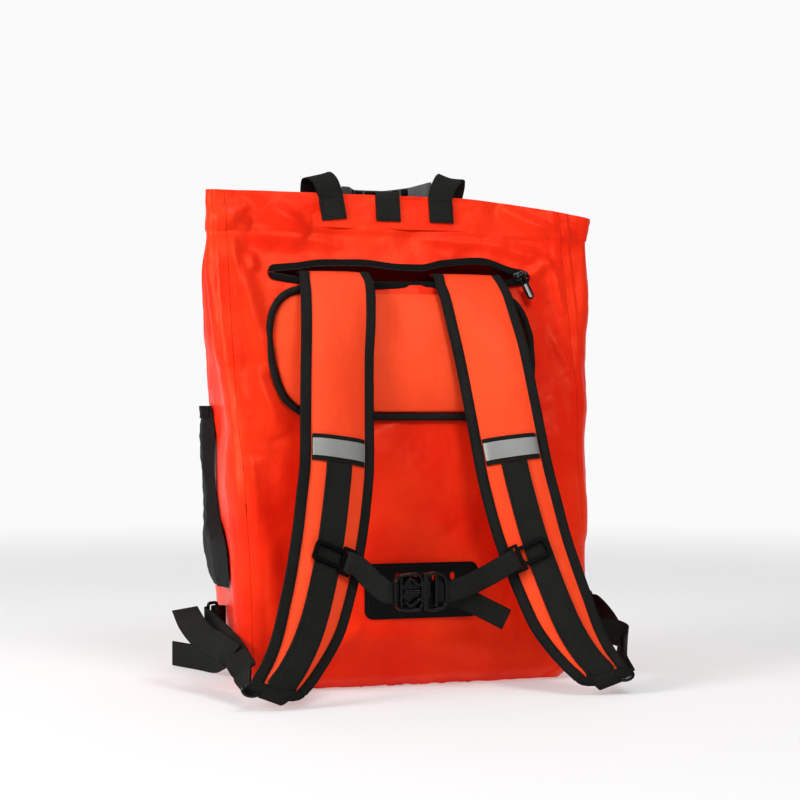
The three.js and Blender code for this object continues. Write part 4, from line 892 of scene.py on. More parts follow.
# The liner's two reds are darkened as painted shade, standing in for the shade inside the slit.
LINER_PAINTED_SHADE_RED = coated_cloth("liner_cloth", (0.30, 0.006, 0.003), (0.14, 0.003, 0.002), 0.5)
WEB = woven_band("webbing", (0.002, 0.002, 0.002), (0.052, 0.053, 0.047), 2.2)
TAPE = woven_band("binding_tape", (0.002, 0.002, 0.002), (0.044, 0.044, 0.041), 1.6, 0.66)
ZIP_TAPE = woven_band("zip_tape", (0.003, 0.003, 0.003), (0.022, 0.022, 0.021), 0.7, 0.6)
SATIN_PLASTIC = smooth_plastic("satin_plastic", (0.001, 0.001, 0.001), (0.006, 0.006, 0.006), 0.36, 0.15)
PLASTIC = smooth_plastic("hard_plastic", (0.002, 0.002, 0.002), (0.008, 0.008, 0.008), 0.24)
METAL = brushed_metal("zip_metal", (0.05, 0.052, 0.055), (0.14, 0.145, 0.15), 0.24)
STEEL = brushed_metal("steel_pin", (0.22, 0.22, 0.22), (0.36, 0.36, 0.36), 0.3)
RUBBER = grained_rubber("patch_rubber", (0.002, 0.002, 0.002), (0.012, 0.012, 0.012), 1.4, 0.5)
GRIP = grained_rubber("handle_rubber", (0.07, 0.072, 0.075), (0.13, 0.133, 0.137), 1.8, 0.5)
REFLECTOR = reflective_tape("reflective_strip")
NET = pocket_net("pocket_mesh")
THREAD = woven_band("black_thread", (0.008, 0.008, 0.008), (0.06, 0.06, 0.058), 0.5, 0.6)


# ---------------------------------------------------------------- camera, light and floor


CAMERA_PLACE = (-0.5069, -1.6907, 0.257)
CAMERA_TURN = 17.0
CAMERA_PITCH = 0.486
SENSOR_WIDTH = 36.0
FOCAL_LENGTH = 79.56
BACKDROP = 0.80
AMBIENT = 0.20

# Disk lights: name, place and aim in metres, size in metres and power in watts
LIGHTS = (
    ("window_light", (-2.2, -0.7, 1.2), (0, 0, 0.25), 1.1, 40),
    ("front_light", (0.3, -1.7, 2.1), (0, 0, 0.3), 0.9, 21),
    ("top_light", (-0.2, 0.2, 2.3), (0, 0, 0.2), 1.2, 6),
)


def placed_camera():
    bpy.ops.object.select_all(action="DESELECT")
    bpy.ops.object.camera_add(
        location=CAMERA_PLACE,
        rotation=(math.radians(90 + CAMERA_PITCH), 0, math.radians(-CAMERA_TURN)))
    camera = bpy.context.object
    camera.data.sensor_width = SENSOR_WIDTH
    camera.data.lens = FOCAL_LENGTH
    camera.data.clip_end = 60
    bpy.context.scene.camera = camera


def soft_light(name, place, aim, size, power):
    bpy.ops.object.select_all(action="DESELECT")
    bpy.ops.object.light_add(type="AREA", location=place)
    light = bpy.context.object
    light.name = name
    light.data.shape = "DISK"
    light.data.size = size
    light.data.energy = power
    light.rotation_euler = (Vector(aim) - Vector(place)).to_track_quat("-Z", "Y").to_euler()


def studio():
    world = bpy.data.worlds.new("studio")
    world.use_nodes = True
    background = world.node_tree.nodes["Background"]
    background.inputs["Color"].default_value = (AMBIENT, AMBIENT, AMBIENT, 1)
    background.inputs["Strength"].default_value = 1.0
    bpy.context.scene.world = world
    bpy.context.scene.view_settings.view_transform = "Standard"
    bpy.context.scene.view_settings.look = "Medium High Contrast"

    bpy.ops.object.select_all(action="DESELECT")
    bpy.ops.mesh.primitive_circle_add(vertices=96, radius=9, fill_type="NGON", location=(0, 0, 0))
    floor = bpy.context.object
    floor.name = "studio_floor"
    finish = Finish("pale_floor")
    x, y = finish.axis("X"), finish.axis("Y")
    away = (x * x + y * y).power(0.5)
    tone = finish.cloud(700, 2)
    colour = finish.mixed(tone, (0.87, 0.87, 0.872), (0.91, 0.91, 0.912))
    finish.paint(base_color=colour, roughness=0.8 + tone * 0.1, specular_ior_level=0.1)
    glow = finish.node("ShaderNodeEmission", None, {"Color": (BACKDROP, BACKDROP, BACKDROP * 1.005, 1)})
    blended = finish.node("ShaderNodeMixShader", None, {
        0: away.step(0.9, 2.6) * 0.6 + 0.4, 1: finish.surface.outputs[0], 2: glow.outputs[0]})
    finish.tree.links.new(blended.outputs[0], finish.tree.nodes["Material Output"].inputs[0])
    floor.data.materials.append(finish.material)

    bpy.ops.mesh.primitive_plane_add(
        size=10, location=(1.4, 4.6, 2.0), rotation=(math.pi / 2, 0, math.radians(-CAMERA_TURN)))
    wall = bpy.context.object
    wall.name = "studio_wall"
    white = Finish("pale_wall")
    white.paint(base_color=(0, 0, 0), emission_color=(BACKDROP, BACKDROP, BACKDROP * 1.005),
                emission_strength=1.0, specular_ior_level=0.0)
    wall.data.materials.append(white.material)

    for light in LIGHTS:
        soft_light(*light)


placed_camera()
studio()


# ---------------------------------------------------------------- shell

# Folds of the back panel: ends (x, z), half width and height, in millimetres
BACK_FOLDS = (
    (-168, 425, -138, 300, 11, 4.6), (-160, 432, -60, 424, 6, 2.4), (-128, 456, -92, 436, 9, 4.2),
    (-186, 456, -150, 440, 7, 4.0), (-178, 436, -150, 462, 6, 3.0), (112, 466, 184, 436, 9, 4.6),
    (96, 428, 168, 408, 7, 2.6), (20, 432, 110, 426, 5, 2.0), (158, 410, 166, 360, 5, 2.4),
    (152, 345, 166, 300, 6, 2.6), (-152, 300, -132, 240, 10, 3.4), (-162, 210, -136, 60, 12, 3.6),
    (146, 270, 160, 140, 9, 3.0), (150, 120, 158, 50, 7, 2.4), (-70, 52, 70, 34, 10, 2.4),
    (-30, 240, 20, 150, 26, 2.8), (-110, 20, -60, 60, 8, 2.4), (60, 110, 110, 150, 16, 2.2),
    (-150, 412, -146, 396, 5, 2.6), (134, 396, 158, 412, 5, 2.4),
)
FOLD_DEPTH = 1.45
FOLD_FADE = 22
SEAM_LAP = 9.0
SEAM_LAP_RISE = 1.1
HEM_RISE = 1.3


def fold_height(x, z, folds):
    """How far folds lift the cloth at a place."""
    lift = 0.0
    for x0, z0, x1, z1, width, height in folds:
        along = Vector((x1 - x0, z1 - z0))
        from_start = Vector((x - x0, z - z0))
        part = from_start.dot(along) / along.length_squared
        off = (from_start - along * clamp(part)).length
        if off < 3 * width:
            ends = math.sin(math.pi * clamp(part * 0.9 + 0.05)) ** 0.5
            lift += FOLD_DEPTH * height * math.exp(-(off / width) ** 2) * ends
    return lift


def ripple(point, size, height, seed):
    """Slow uneven dents of about a size, in millimetres."""
    return noise.noise(point / size + Vector((seed, seed * 1.7, seed * 0.3))) * height


def weld_step(distance, width, height):
    """A flat welded lap beside a seam, with a crisp edge."""
    return height * (1 - ease((distance - width) / 1.6))


def carried_fold(point, side, distance, seam, folds):
    """Lift of the back panel's folds, which run round its seam and fade out on the side panel."""
    if not folds or distance <= seam:
        return fold_height(point.x, point.z, folds)
    at_seam, _ = loop_point(round(point.z, 3), side, seam)
    return fold_height(at_seam.x, point.z, folds) * (1 - ease((distance - seam) / FOLD_FADE))


def cloth_lift(point, beside_seam, fold):
    """How far the shell's outer face stands off its plain section."""
    up = point.z / BAG_HEIGHT
    loose = 0.35 + 0.65 * ease((up - 0.1) / 0.8)
    lift = ripple(point, 62, 3.4, 3.1) + ripple(point, 24, 1.7, 8.4) * loose + ripple(point, 9, 0.35, 5.2)
    lift += fold
    lift *= ease(point.z / 26)
    lift += weld_step(abs(beside_seam), SEAM_LAP, SEAM_LAP_RISE)
    if point.z > WELD_HEIGHT:
        lift += HEM_RISE * ease((point.z - WELD_HEIGHT) / 1.2)
    return lift


def panel(name, rows, columns, span, outward, folds, replaced):
    """A panel of the shell, as a fine sheet with folds, seam laps and the wall's thickness."""

    def place(u, v):
        z = v * BAG_HEIGHT
        side, start, end = span(z, u)
        distance = start + (end - start) * (abs(u * 2 - 1) if name in ("back_cloth", "front_cloth") else u)
        point, out = loop_point(round(z, 3), side, distance)
        _, _, seam, front_seam = half_loop(round(z, 3), side)
        beside = (distance - seam if abs(distance - seam) < abs(distance - front_seam)
                  else distance - front_seam)
        fold = carried_fold(point, side, distance, seam, folds)
        point = point + out * cloth_lift(point, beside, fold)
        point.z += 1.6 * (1 + noise.noise(point / 30)) * (1 - ease(point.z / 14))
        return drooped(point)

    piece = sheet(name, columns, rows, place, columns * 2.5, BAG_HEIGHT, WALL, outward)
    dressed(piece, RED, replaced=(replaced,))
    return piece


def back_span(z, u):
    side = -1 if u < 0.5 else 1
    return side, 0.0, half_loop(round(z, 3), side)[2] - GAP / 2


def front_span(z, u):
    side = -1 if u < 0.5 else 1
    _, lengths, _, front_seam = half_loop(round(z, 3), side)
    return side, lengths[-1], front_seam + GAP / 2


def side_span(side):
    def span(z, u):
        _, _, seam, front_seam = half_loop(round(z, 3), side)
        return side, seam + GAP / 2, front_seam - GAP / 2
    return span


def upper_lip(x):
    return SLIT_HEIGHT + (TAPE_WIDTH + GAP) / 2 + lip_rise(x / SLIT_HALF_WIDTH) * SLIT_GAPE


def lower_lip(x):
    return SLIT_HEIGHT - (TAPE_WIDTH + GAP) / 2 - lip_sag(x / SLIT_HALF_WIDTH) * SLIT_GAPE


def slit_cutter():
    reach = SLIT_HALF_WIDTH - TAPE_WIDTH

    def place(u, v):
        x = -reach + 2 * reach * u
        low, high = lower_lip(x) + GAP, upper_lip(x) - GAP
        return Vector((x, -BACK_REACH * 0.75, low + (high - low) * v))

    cutter = cloth_grid("slit_cutter", 60, 2, place)
    thickened(cutter, 70, (0, -1, 0))
    return cutter


def shell():
    back = panel("back_cloth", 190, 138, back_span, (0, -1, 0), BACK_FOLDS, "back_panel")
    cutter = slit_cutter()
    cut(back, cutter)
    shaded(back)
    front = panel("front_cloth", 120, 100, front_span, (0, 1, 0), (), "front_panel")
    shaded(front)
    for side, word in SIDES.items():
        gusset = panel(f"side_cloth_{word}", 150, 60, side_span(side), (side, 0, 0),
                       BACK_FOLDS, f"side_panel_{word}")
        shaded(gusset)


def base_cloth():
    def place(u, v):
        side = -1 if u < 0.5 else 1
        _, lengths, _, _ = half_loop(0.0, side)
        point, out = loop_point(0.0, side, lengths[-1] * v)
        rim = point - out * (WALL + GAP)
        middle = Vector((0, rim.y, 0))
        reach = abs(u * 2 - 1)
        return middle.lerp(rim, reach) + Vector((0, 0, 1.7 + 0.3 * math.sin(9 * reach) * math.sin(7 * v)))

    piece = sheet("base_cloth", 40, 40, place, 300, 150, 1.2, (0, 0, -1))
    finished(piece, RED, replaced=("base_panel",))


def liner():
    def place(u, v):
        share = u * 2 - 1
        up = v * 2 - 1
        z = LINER_BOTTOM + (LINER_TOP - LINER_BOTTOM) * v
        depth = LINER_DEPTH * ease((1 - abs(share)) / 0.2) * ease((1 - abs(up)) / 0.3)
        x = share * LINER_HALF_WIDTH
        crumple = 1.6 * noise.noise(Vector((x / 22, z / 14, 4.0))) * ease((1 - abs(share)) / 0.2)
        return on_back(x, z, -(WALL + 2 * GAP + 1.6 + depth + crumple))

    piece = sheet("liner_cloth", 90, 36, place, 2 * LINER_HALF_WIDTH, LINER_TOP - LINER_BOTTOM, 1.0,
                  (0, -1, 0))
    # The liner's dark red is painted shade inside the slit.
    finished(piece, LINER_PAINTED_SHADE_RED, replaced=("stow_liner",))


def zip_band(name, lip, open_side, replaced):
    """A folded band on a lip of the slit, rounded off at both ends; returns its stations."""
    places = spread(-SLIT_HALF_WIDTH, SLIT_HALF_WIDTH, 134)

    def station(x):
        z = lip(x)
        lean = back_face(x, z + 3) - back_face(x, z - 3)
        return {"p": on_back(x, z, GAP + TAPE_THICKNESS / 2), "w": Vector((0, lean / 6, 1)).normalized(),
                "n": Vector((0, -1, lean / 6)).normalized(), "t": Vector((1, 0, 0))}

    stations = [station(x) for x in places]
    half, rise = TAPE_WIDTH / 2, TAPE_THICKNESS / 2

    def profile(station, i):
        inside = SLIT_HALF_WIDTH - abs(places[i])
        round_end = TAPE_WIDTH + GAP
        limit = math.sqrt(max(0.4, round_end ** 2 - max(0.0, round_end - inside) ** 2)) - (TAPE_WIDTH + GAP) / 2
        return [(open_side * max(-limit, across * open_side), off)
                for across, off in rounded_section(16, half, rise, 0.6, 0.7)]

    piece = swept(name, stations, profile)
    finished(piece, ZIP_TAPE, replaced=(replaced,))
    return stations


def repeated(name, master_points, master_faces, places):
    """One mesh of many small copies; each place is (point, across, up, out) in millimetres."""
    points, faces = [], []
    for p, w, t, n in places:
        first = len(points)
        for x, y, z in master_points:
            points.append((p + w * x + t * y + n * z) * MM)
        faces += [tuple(first + i for i in face) for face in master_faces]
    mesh = bpy.data.meshes.new(name)
    mesh.from_pydata(points, [], faces)
    mesh.uv_layers.new(name="UVMap")
    piece = bpy.data.objects.new(name, mesh)
    bpy.context.scene.collection.objects.link(piece)
    edited(piece, faced_out)
    return piece


def capsule(length, width, height):
    """A small stitch or tooth: a stretched bead with six sides."""
    points, faces = [], []
    rings = ((-0.5, 0.35), (-0.28, 1), (0.28, 1), (0.5, 0.35))
    for along, share in rings:
        for k in range(6):
            angle = 2 * math.pi * k / 6
            points.append((math.cos(angle) * width / 2 * share, along * length,
                           math.sin(angle) * height / 2 * share))
    for r in range(3):
        for k in range(6):
            a, b = r * 6 + k, r * 6 + (k + 1) % 6
            faces.append((a, b, b + 6, a + 6))
    faces.append(tuple(reversed(range(6))))
    faces.append(tuple(range(18, 24)))
    return points, faces


def stitches(name, stations, across_at, off_at, pitch=3.0, body="bag"):
    """A row of stitches along stations, at a distance across and a height off each."""
    places = []
    travelled, due = 0.0, pitch / 2
    for a, b in zip(stations, stations[1:]):
        length = (b["p"] - a["p"]).length
        while travelled + length >= due:
            part = (due - travelled) / length
            across = across_at(a) + (across_at(b) - across_at(a)) * part
            off = off_at(a) + (off_at(b) - off_at(a)) * part
            point = (a["p"] + a["w"] * across_at(a) + a["n"] * off_at(a)).lerp(
                b["p"] + b["w"] * across_at(b) + b["n"] * off_at(b), part)
            along = (b["p"] - a["p"]).normalized()
            n = a["n"]
            places.append((point, along.cross(n).normalized(), along, n))
            due += pitch
        travelled += length
    piece = repeated(name, *capsule(pitch * 0.72, 0.6, 0.5), places)
    finished(piece, THREAD, body)
    return piece


def zips():
    for name, lip, toward in (("zip_band_upper", upper_lip, -1), ("zip_band_lower", lower_lip, 1)):
        stations = zip_band(name, lip, toward, name.replace("band", "tape"))
        places = []
        for a in stations[3:-9]:
            point = a["p"] + a["w"] * toward * (TAPE_WIDTH / 2 - 0.1) + a["n"] * 0.2
            places.append((point, Vector((1, 0, 0)), a["w"], a["n"]))
        teeth = repeated(name.replace("band", "teeth"), *capsule(1.6, 1.1, 1.1), places)
        finished(teeth, PLASTIC)


shell()
base_cloth()
liner()
zips()


# ---------------------------------------------------------------- pads


# Outline of the back pad: height over its bottom and half width, in millimetres
PAD_OUTLINE = ((0, 84), (0.8, 92), (3, 101), (8, 110), (18, 119), (32, 124), (50, 127), (72, 128), (90, 125),
               (103, 119), (110, 112), (114, 103), (117, 90))
PAD_MIDDLE = -5.0

pad_half = Line(PAD_OUTLINE, 1)


def back_pad():
    """The pad behind the wearer's shoulders: a crowned cushion with a soft crease down its middle."""

    def place(u, v):
        angle = 2 * math.pi * u
        height = (PAD_TOP - PAD_BOTTOM) * (0.004 + 0.992 * v)
        half = pad_half(height) - 0.6
        share = math.cos(angle)
        share = signed_power(share, 0.75)
        up = 2 * height / (PAD_TOP - PAD_BOTTOM) - 1
        crown = (1 - share ** 4) * (1 - up ** 6)
        rise = ((PAD_EDGE * 0.7 + (PAD_THICKNESS - 3.5 - PAD_EDGE * 0.7) * crown) if math.sin(angle) > 0
                else 0.0)
        rise *= abs(math.sin(angle)) ** 0.3 if math.sin(angle) > 0 else 1.0
        z = PAD_BOTTOM + height
        x = PAD_MIDDLE + share * half
        crease = 4.6 * math.exp(-((x + 12 - (z - 310) * 0.12) / 7) ** 2) * ease((1 - abs(up)) / 0.3)
        crumple = 1.0 * noise.noise(Vector((x / 34, z / 30, 1.5))) * crown
        lifted = max(0.0, rise - (crease if rise > 4 else 0.0) + (crumple if rise > 4 else 0.0))
        return on_back(x, z, 0.9 + lifted)

    piece = cloth_grid("back_pad_cloth", 96, 44, place)
    sized_pattern(piece, 480, 117)
    edited(piece, merged)
    capped(piece)
    edited(piece, faced_out)
    held = piece.vertex_groups.new(name="held")
    for point in piece.data.vertices:
        x, y, z = point.co / MM
        height = z - PAD_BOTTOM
        near_edge = (pad_half(height) - abs(x - PAD_MIDDLE) < 4 or height < 3
                     or height > PAD_TOP - PAD_BOTTOM - 3)
        behind = back_face(x, z) - y < 2.0
        if near_edge or behind:
            held.add([point.index], 1.0, "REPLACE")
    puffed(piece, 3.0, 3.0, "held")
    applied(piece, "SUBSURF", levels=1, render_levels=1)
    piece.vertex_groups.clear()
    shaded(piece, SOFT_ANGLE)
    dressed(piece, STRAP_RED, replaced=("back_pad",))


def pad_edge_route():
    """Round the pad's two sides and its bottom: places (x, z) and the direction away from the pad."""
    off = GAP + PIPING_WIDTH / 2
    height = PAD_TOP - PAD_BOTTOM
    edge = [(-pad_half(height * share ** 1.8), PAD_BOTTOM + height * share ** 1.8) for share in spread(1, 0, 60)]
    edge += [(x, PAD_BOTTOM) for x in spread(edge[-1][0], 0, 24)[1:]]
    route = []
    for i, (x, z) in enumerate(edge):
        before, after = edge[max(i - 2, 0)], edge[min(i + 2, len(edge) - 1)]
        out = Vector((after[1] - before[1], 0, before[0] - after[0])).normalized()
        route.append((x + out.x * off, z + out.z * off, out))
    mirrored = [(-x, z, Vector((-out.x, 0, out.z))) for x, z, out in reversed(route[:-1])]
    return [(x + PAD_MIDDLE, z, out) for x, z, out in route + mirrored]


def pad_piping():
    stations = []
    for x, z, out in pad_edge_route():
        stations.append({"p": on_back(x, z, 0), "w": out, "n": Vector((0, -1, 0))})

    def profile(station, i):
        half = PIPING_WIDTH / 2
        section = []
        for k in range(14):
            angle = 2 * math.pi * k / 14
            across = half * math.cos(angle)
            place = station["p"] + station["w"] * across
            seat = station["p"].y - back_face(place.x, place.z) + GAP
            section.append((across, seat + 3.2 + 3.2 * math.sin(angle) + 0.4 * math.sin(i * 0.7)))
        return section

    piece = swept("back_pad_binding", stations, profile)
    finished(piece, TAPE, replaced=("back_pad_piping",), angle=SOFT_ANGLE)


def lumbar_patch():
    def inset(height):
        edge = min(height, PATCH_HEIGHT - height)
        if edge >= PATCH_CORNER:
            return 0.0
        return PATCH_CORNER - math.sqrt(PATCH_CORNER ** 2 - (PATCH_CORNER - edge) ** 2)

    def place(u, v):
        height = PATCH_HEIGHT * (1 - math.cos(math.pi * v)) / 2
        x = (u * 2 - 1) * (PATCH_HALF_WIDTH - inset(height))
        return on_back(x, PATCH_BOTTOM + height, GAP + PATCH_THICKNESS)

    piece = sheet("lumbar_patch_sheet", 80, 36, place, 2 * PATCH_HALF_WIDTH, PATCH_HEIGHT,
                  PATCH_THICKNESS - 0.2, (0, -1, 0))
    for i in range(SLOT_COUNT):
        x = (i - (SLOT_COUNT - 1) / 2) * SLOT_SPACING + SLOT_SHIFT
        z = PATCH_BOTTOM + PATCH_HEIGHT - SLOT_DROP
        bpy.ops.object.select_all(action="DESELECT")
        bpy.ops.mesh.primitive_cylinder_add(
            vertices=32, radius=SLOT_WIDTH / 2 * MM, depth=30 * MM, rotation=(math.pi / 2, 0, 0),
            location=on_back(x, z, 0) * MM)
        cutter = bpy.context.object
        bpy.ops.object.transform_apply(location=False, rotation=True, scale=False)
        for point in cutter.data.vertices:
            stretch = (SLOT_HEIGHT - SLOT_WIDTH) / 2 * MM
            point.co.z += stretch if point.co.z > 0 else -stretch
        cut(piece, cutter)
    edge_rounded(piece, 0.35)
    finished(piece, RUBBER, replaced=("lumbar_patch",))
    border = []
    for x, z, out in patch_outline(3.2):
        border.append({"p": on_back(x, z, GAP + PATCH_THICKNESS), "w": out, "n": Vector((0, -1, 0))})
    stitches("lumbar_patch_stitching", stations_along_border(border), lambda s: 0.0, lambda s: 0.12, 2.6)


def patch_outline(inside):
    """Places along the lumbar patch's border, a distance inside its edge."""
    half, bottom, top = (PATCH_HALF_WIDTH - inside, PATCH_BOTTOM + inside, PATCH_BOTTOM
                         + PATCH_HEIGHT - inside)
    corner = PATCH_CORNER - inside / 2
    places = []
    centres = ((half - corner, bottom + corner, -90), (half - corner, top - corner, 0),
               (-half + corner, top - corner, 90), (-half + corner, bottom + corner, 180))
    for x, z, start in centres:
        for i in range(9):
            angle = math.radians(start + 90 * i / 8)
            out = Vector((math.cos(angle), 0, math.sin(angle)))
            places.append((x + corner * out.x, z + corner * out.z, out))
    places.append(places[0])
    return places


def stations_along_border(border):
    """The same stations with more of them on the straight parts."""
    fine = []
    for a, b in zip(border, border[1:]):
        parts = max(1, round((b["p"] - a["p"]).length / 4))
        for k in range(parts):
            part = k / parts
            p = a["p"].lerp(b["p"], part)
            fine.append({"p": Vector((p.x, back_face(p.x, p.z) - GAP - PATCH_THICKNESS, p.z)),
                         "w": a["w"].lerp(b["w"], part).normalized(), "n": a["n"]})
    fine.append(border[-1])
    return fine


back_pad()
pad_piping()
lumbar_patch()


# ---------------------------------------------------------------- mouth


def tab_patch():
    def place(u, v):
        x = TAB_PATCH_MIDDLE + (u * 2 - 1) * TAB_PATCH_HALF_WIDTH
        z = TAB_PATCH_BOTTOM + TAB_PATCH_HEIGHT * v
        lift = 1.3 + 0.7 + ripple(Vector((x, 0, z)), 24, 0.5, 8.4)
        return drooped(on_back(x, z, max(1.4, lift)))

    piece = sheet("tab_patch_cloth", 90, 16, place, 2 * TAB_PATCH_HALF_WIDTH, TAB_PATCH_HEIGHT, 0.9,
                  (0, -1, 0))
    finished(piece, RED, replaced=("tab_patch",))


PATCH_FACE = 1 + 2 * GAP


def sewn_end(x, lean=0.0):
    off = PATCH_FACE + WEBBING_THICKNESS / 2 + 0.9
    bottom = BAG_HEIGHT - TAB_DROP
    return [row(on_back(x - lean * TAB_SEWN * share, bottom + TAB_SEWN * share, off), (1, 0, lean))
            for share in (0, 0.35, 0.7, 1)]


def mouth_tabs():
    mouth = section_at(BAG_HEIGHT)
    half = WEBBING_THICKNESS / 2
    off = PATCH_FACE + half
    back, front = mouth["back"], mouth["front"]
    x = TAB_MIDDLE - TAB_SPACING
    left = sewn_end(x, 0.13) + [
        row((x - 7, back - off - 1, BAG_HEIGHT + TAB_LOOP * 0.5), (1, 0, 0.22)),
        row((x - 11, back - off + 2, BAG_HEIGHT + TAB_LOOP * 0.85), (1, 0.1, 0.3)),
        row((x - 15, (back + front) / 2, BAG_HEIGHT + TAB_LOOP * 0.98), (1, 0.2, 0.26)),
        row((x - 16, front + off + 2, BAG_HEIGHT + TAB_LOOP * 0.8), (1, 0.2, 0.1)),
        row((x - 16, front + off + 4, BAG_HEIGHT + 1), (1, 0.1, 0)),
        row((x - 16, front + off + 4, BAG_HEIGHT - 12), (1, 0, 0)),
    ]
    x = TAB_MIDDLE
    centre = sewn_end(x) + [
        row((x, back - off, BAG_HEIGHT + 1), (1, 0, 0)),
        row((x, back - off * 0.4, BAG_HEIGHT + 2 + half), (1, 0, 0)),
        row((x, front + off * 0.4, BAG_HEIGHT + 2 + half), (1, 0, 0)),
        row((x, front + off, BAG_HEIGHT + 0.5), (1, 0, 0)),
        row((x, front + off + 2, BAG_HEIGHT - 14), (1, 0, 0)),
    ]
    x = TAB_MIDDLE + TAB_SPACING
    right = sewn_end(x) + [
        row((x + 3, back - off, BAG_HEIGHT + 8), (1, 0, 0)),
        row((x + 8, back - off + 3, BAG_HEIGHT + 16), (1, 0.1, 0)),
        row((x + 14, back + 7, BAG_HEIGHT + 20), (0.97, 0.2, -0.12)),
        row((x + 19, front + 2, BAG_HEIGHT + 18), (0.92, 0.25, -0.3)),
        row((x + 21, front + 8, BAG_HEIGHT + 11), (0.9, 0.2, -0.35)),
        row((x + 20, front + 11, BAG_HEIGHT + 3), (0.92, 0.1, -0.3)),
        row((x + 17, front + 11, BAG_HEIGHT - 8), (1, 0, -0.1)),
    ]
    for word, route in (("left", left), ("centre", centre), ("right", right)):
        band(f"tab_webbing_{word}", route, f"mouth_tab_{word}")
        sewn_box(f"tab_stitching_{word}", route[:4])


def sewn_box(name, rows):
    """A box of stitches with a cross in it, on the sewn end of a tab."""
    low, high = rows[0], rows[-1]
    n = Vector((0, -1, 0))
    lift = WEBBING_THICKNESS / 2 + 0.12

    def at(across, up):
        p = low["p"].lerp(high["p"], up) + Vector((across * (WEBBING / 2 - 2.2), 0, 0))
        return Vector((p.x, p.y - lift, p.z))

    corners = [(-1, 0.1), (1, 0.1), (1, 0.92), (-1, 0.92), (-1, 0.1), (1, 0.92)]
    places = []
    for a, b in zip(corners, corners[1:]):
        start, end = at(*a), at(*b)
        count = max(2, round((end - start).length / 2.4))
        along = (end - start).normalized()
        for k in range(count):
            places.append((start.lerp(end, (k + 0.5) / count), along.cross(n).normalized(), along, n))
    piece = repeated(name, *capsule(1.8, 0.55, 0.45), places)
    finished(piece, THREAD)


def handle():
    seat = section_at(BAG_HEIGHT + HANDLE_LIFT - HANDLE_WIDTH)["front"] + HANDLE_THICKNESS / 2 + GAP
    height = BAG_HEIGHT + HANDLE_LIFT - HANDLE_WIDTH / 2
    route = []
    for share in spread(-1, 1, 48):
        bow = HANDLE_BOW * ease(max(0.0, 0.9 - abs(share)) / 0.34)
        rise = HANDLE_RISE * max(0.0, share) ** 1.3
        place = (HANDLE_MIDDLE + share * HANDLE_HALF_LENGTH, seat + bow, height + rise)
        route.append(row(place, (0, 0, 1)))
    stations = stations_along(route)

    section = rounded_section(20, HANDLE_WIDTH / 2, HANDLE_THICKNESS / 2 * 0.8, 0.35, 0.5)
    piece = swept("handle_band", stations, lambda station, i: section)
    finished(piece, GRIP, replaced=("handle_grip",))
    places = []
    for i, station in enumerate(stations[7:-7]):
        for across in (-9.5, 0, 9.5):
            for face in (-1, 1):
                point = (station["p"] + station["w"] * across
                         + station["n"] * face * HANDLE_THICKNESS / 2 * 0.8)
                if i % 5 == 0:
                    places.append((point, station["t"], station["w"], station["n"] * face))
    block = [(x, y, z) for z, inset in ((-0.3, 0), (0.5, 0), (0.7, 0.4))
             for x, y in ((-3.4 + inset, -3.2 + inset), (3.4 - inset, -3.2 + inset),
                          (3.4 - inset, 3.2 - inset), (-3.4 + inset, 3.2 - inset))]
    faces = [(3, 2, 1, 0), (8, 9, 10, 11)]
    for ring in (0, 4):
        for k in range(4):
            faces.append((ring + k, ring + (k + 1) % 4, ring + 4 + (k + 1) % 4, ring + 4 + k))
    pads = repeated("handle_pads", block, faces, places)
    finished(pads, RUBBER, angle=math.radians(30))


tab_patch()
mouth_tabs()
handle()


# ---------------------------------------------------------------- shoulder straps


@lru_cache(maxsize=None)
def strap_point(side, drop):
    z = SLIT_HEIGHT * (1 - drop)
    x = side * (STRAP_TOP_OFFSET + hang_flare(drop) * STRAP_FLARE[side])
    return on_back(x, z, hang_out(drop) * STRAP_REACH)


def strap_row(side, drop):
    toe = math.radians(STRAP_TOE * hang_toe(drop))
    return {"p": strap_point(side, drop), "w": Vector((math.cos(toe), -side * math.sin(toe), 0)),
            "half": hang_width(drop) * STRAP_HALF_WIDTH * (1 - END_NARROWING * end_share(drop)),
            "rise": hang_thick(drop) * STRAP_HALF_THICKNESS, "drop": drop}


def end_share(drop):
    """How far a place is into the strap's slanted lower end, from 0 to 1."""
    return ease((drop - SLANT_START) / (LAST_DROP - SLANT_START))


def slanted(stations, side):
    """Draws the outer edge of a strap's lower end further down than the inner edge."""
    for station in stations:
        slant = END_SLANT * end_share(station["drop"])
        station["p"] = station["p"] + station["t"] * slant * (station["half"] - 3)
        station["w"] = station["w"] + station["t"] * slant * side
    return stations


FIRST_DROP = STRAP_HANG[0][0]
LAST_DROP = STRAP_HANG[-1][0]
SLANT_START = 0.80
END_SLANT = 0.43
END_NARROWING = 0.2


@lru_cache(maxsize=None)
def strap_stations(side):
    rows = []
    for inside, up in ((WALL + LINER_DEPTH - 1, 1.0), (9.0, 1.2), (5.0, 1.0), (1.0, 0.0), (-2.5, -1.8)):
        rows.append({"p": on_back(side * STRAP_TOP_OFFSET, SLIT_HEIGHT + up, -inside), "w": Vector((1, 0, 0)),
                     "half": 0.96 * STRAP_HALF_WIDTH, "rise": 0.36 * STRAP_HALF_THICKNESS, "drop": 0.0})
    for drop in spread(FIRST_DROP, LAST_DROP, 130):
        rows.append(strap_row(side, drop))
    return slanted(stations_along(rows), side)


def strap_between(side, start, end, count):
    """Stations of a strap between two shares of its drop."""
    fine = [strap_row(side, drop) for drop in spread(start, end, count)]
    before = strap_row(side, start - 0.004)
    after = strap_row(side, min(end + 0.004, LAST_DROP + 0.003))
    return slanted(stations_along([before, *fine, after]), side)[1:-1]


SHOULDER_SHARE = 0.75


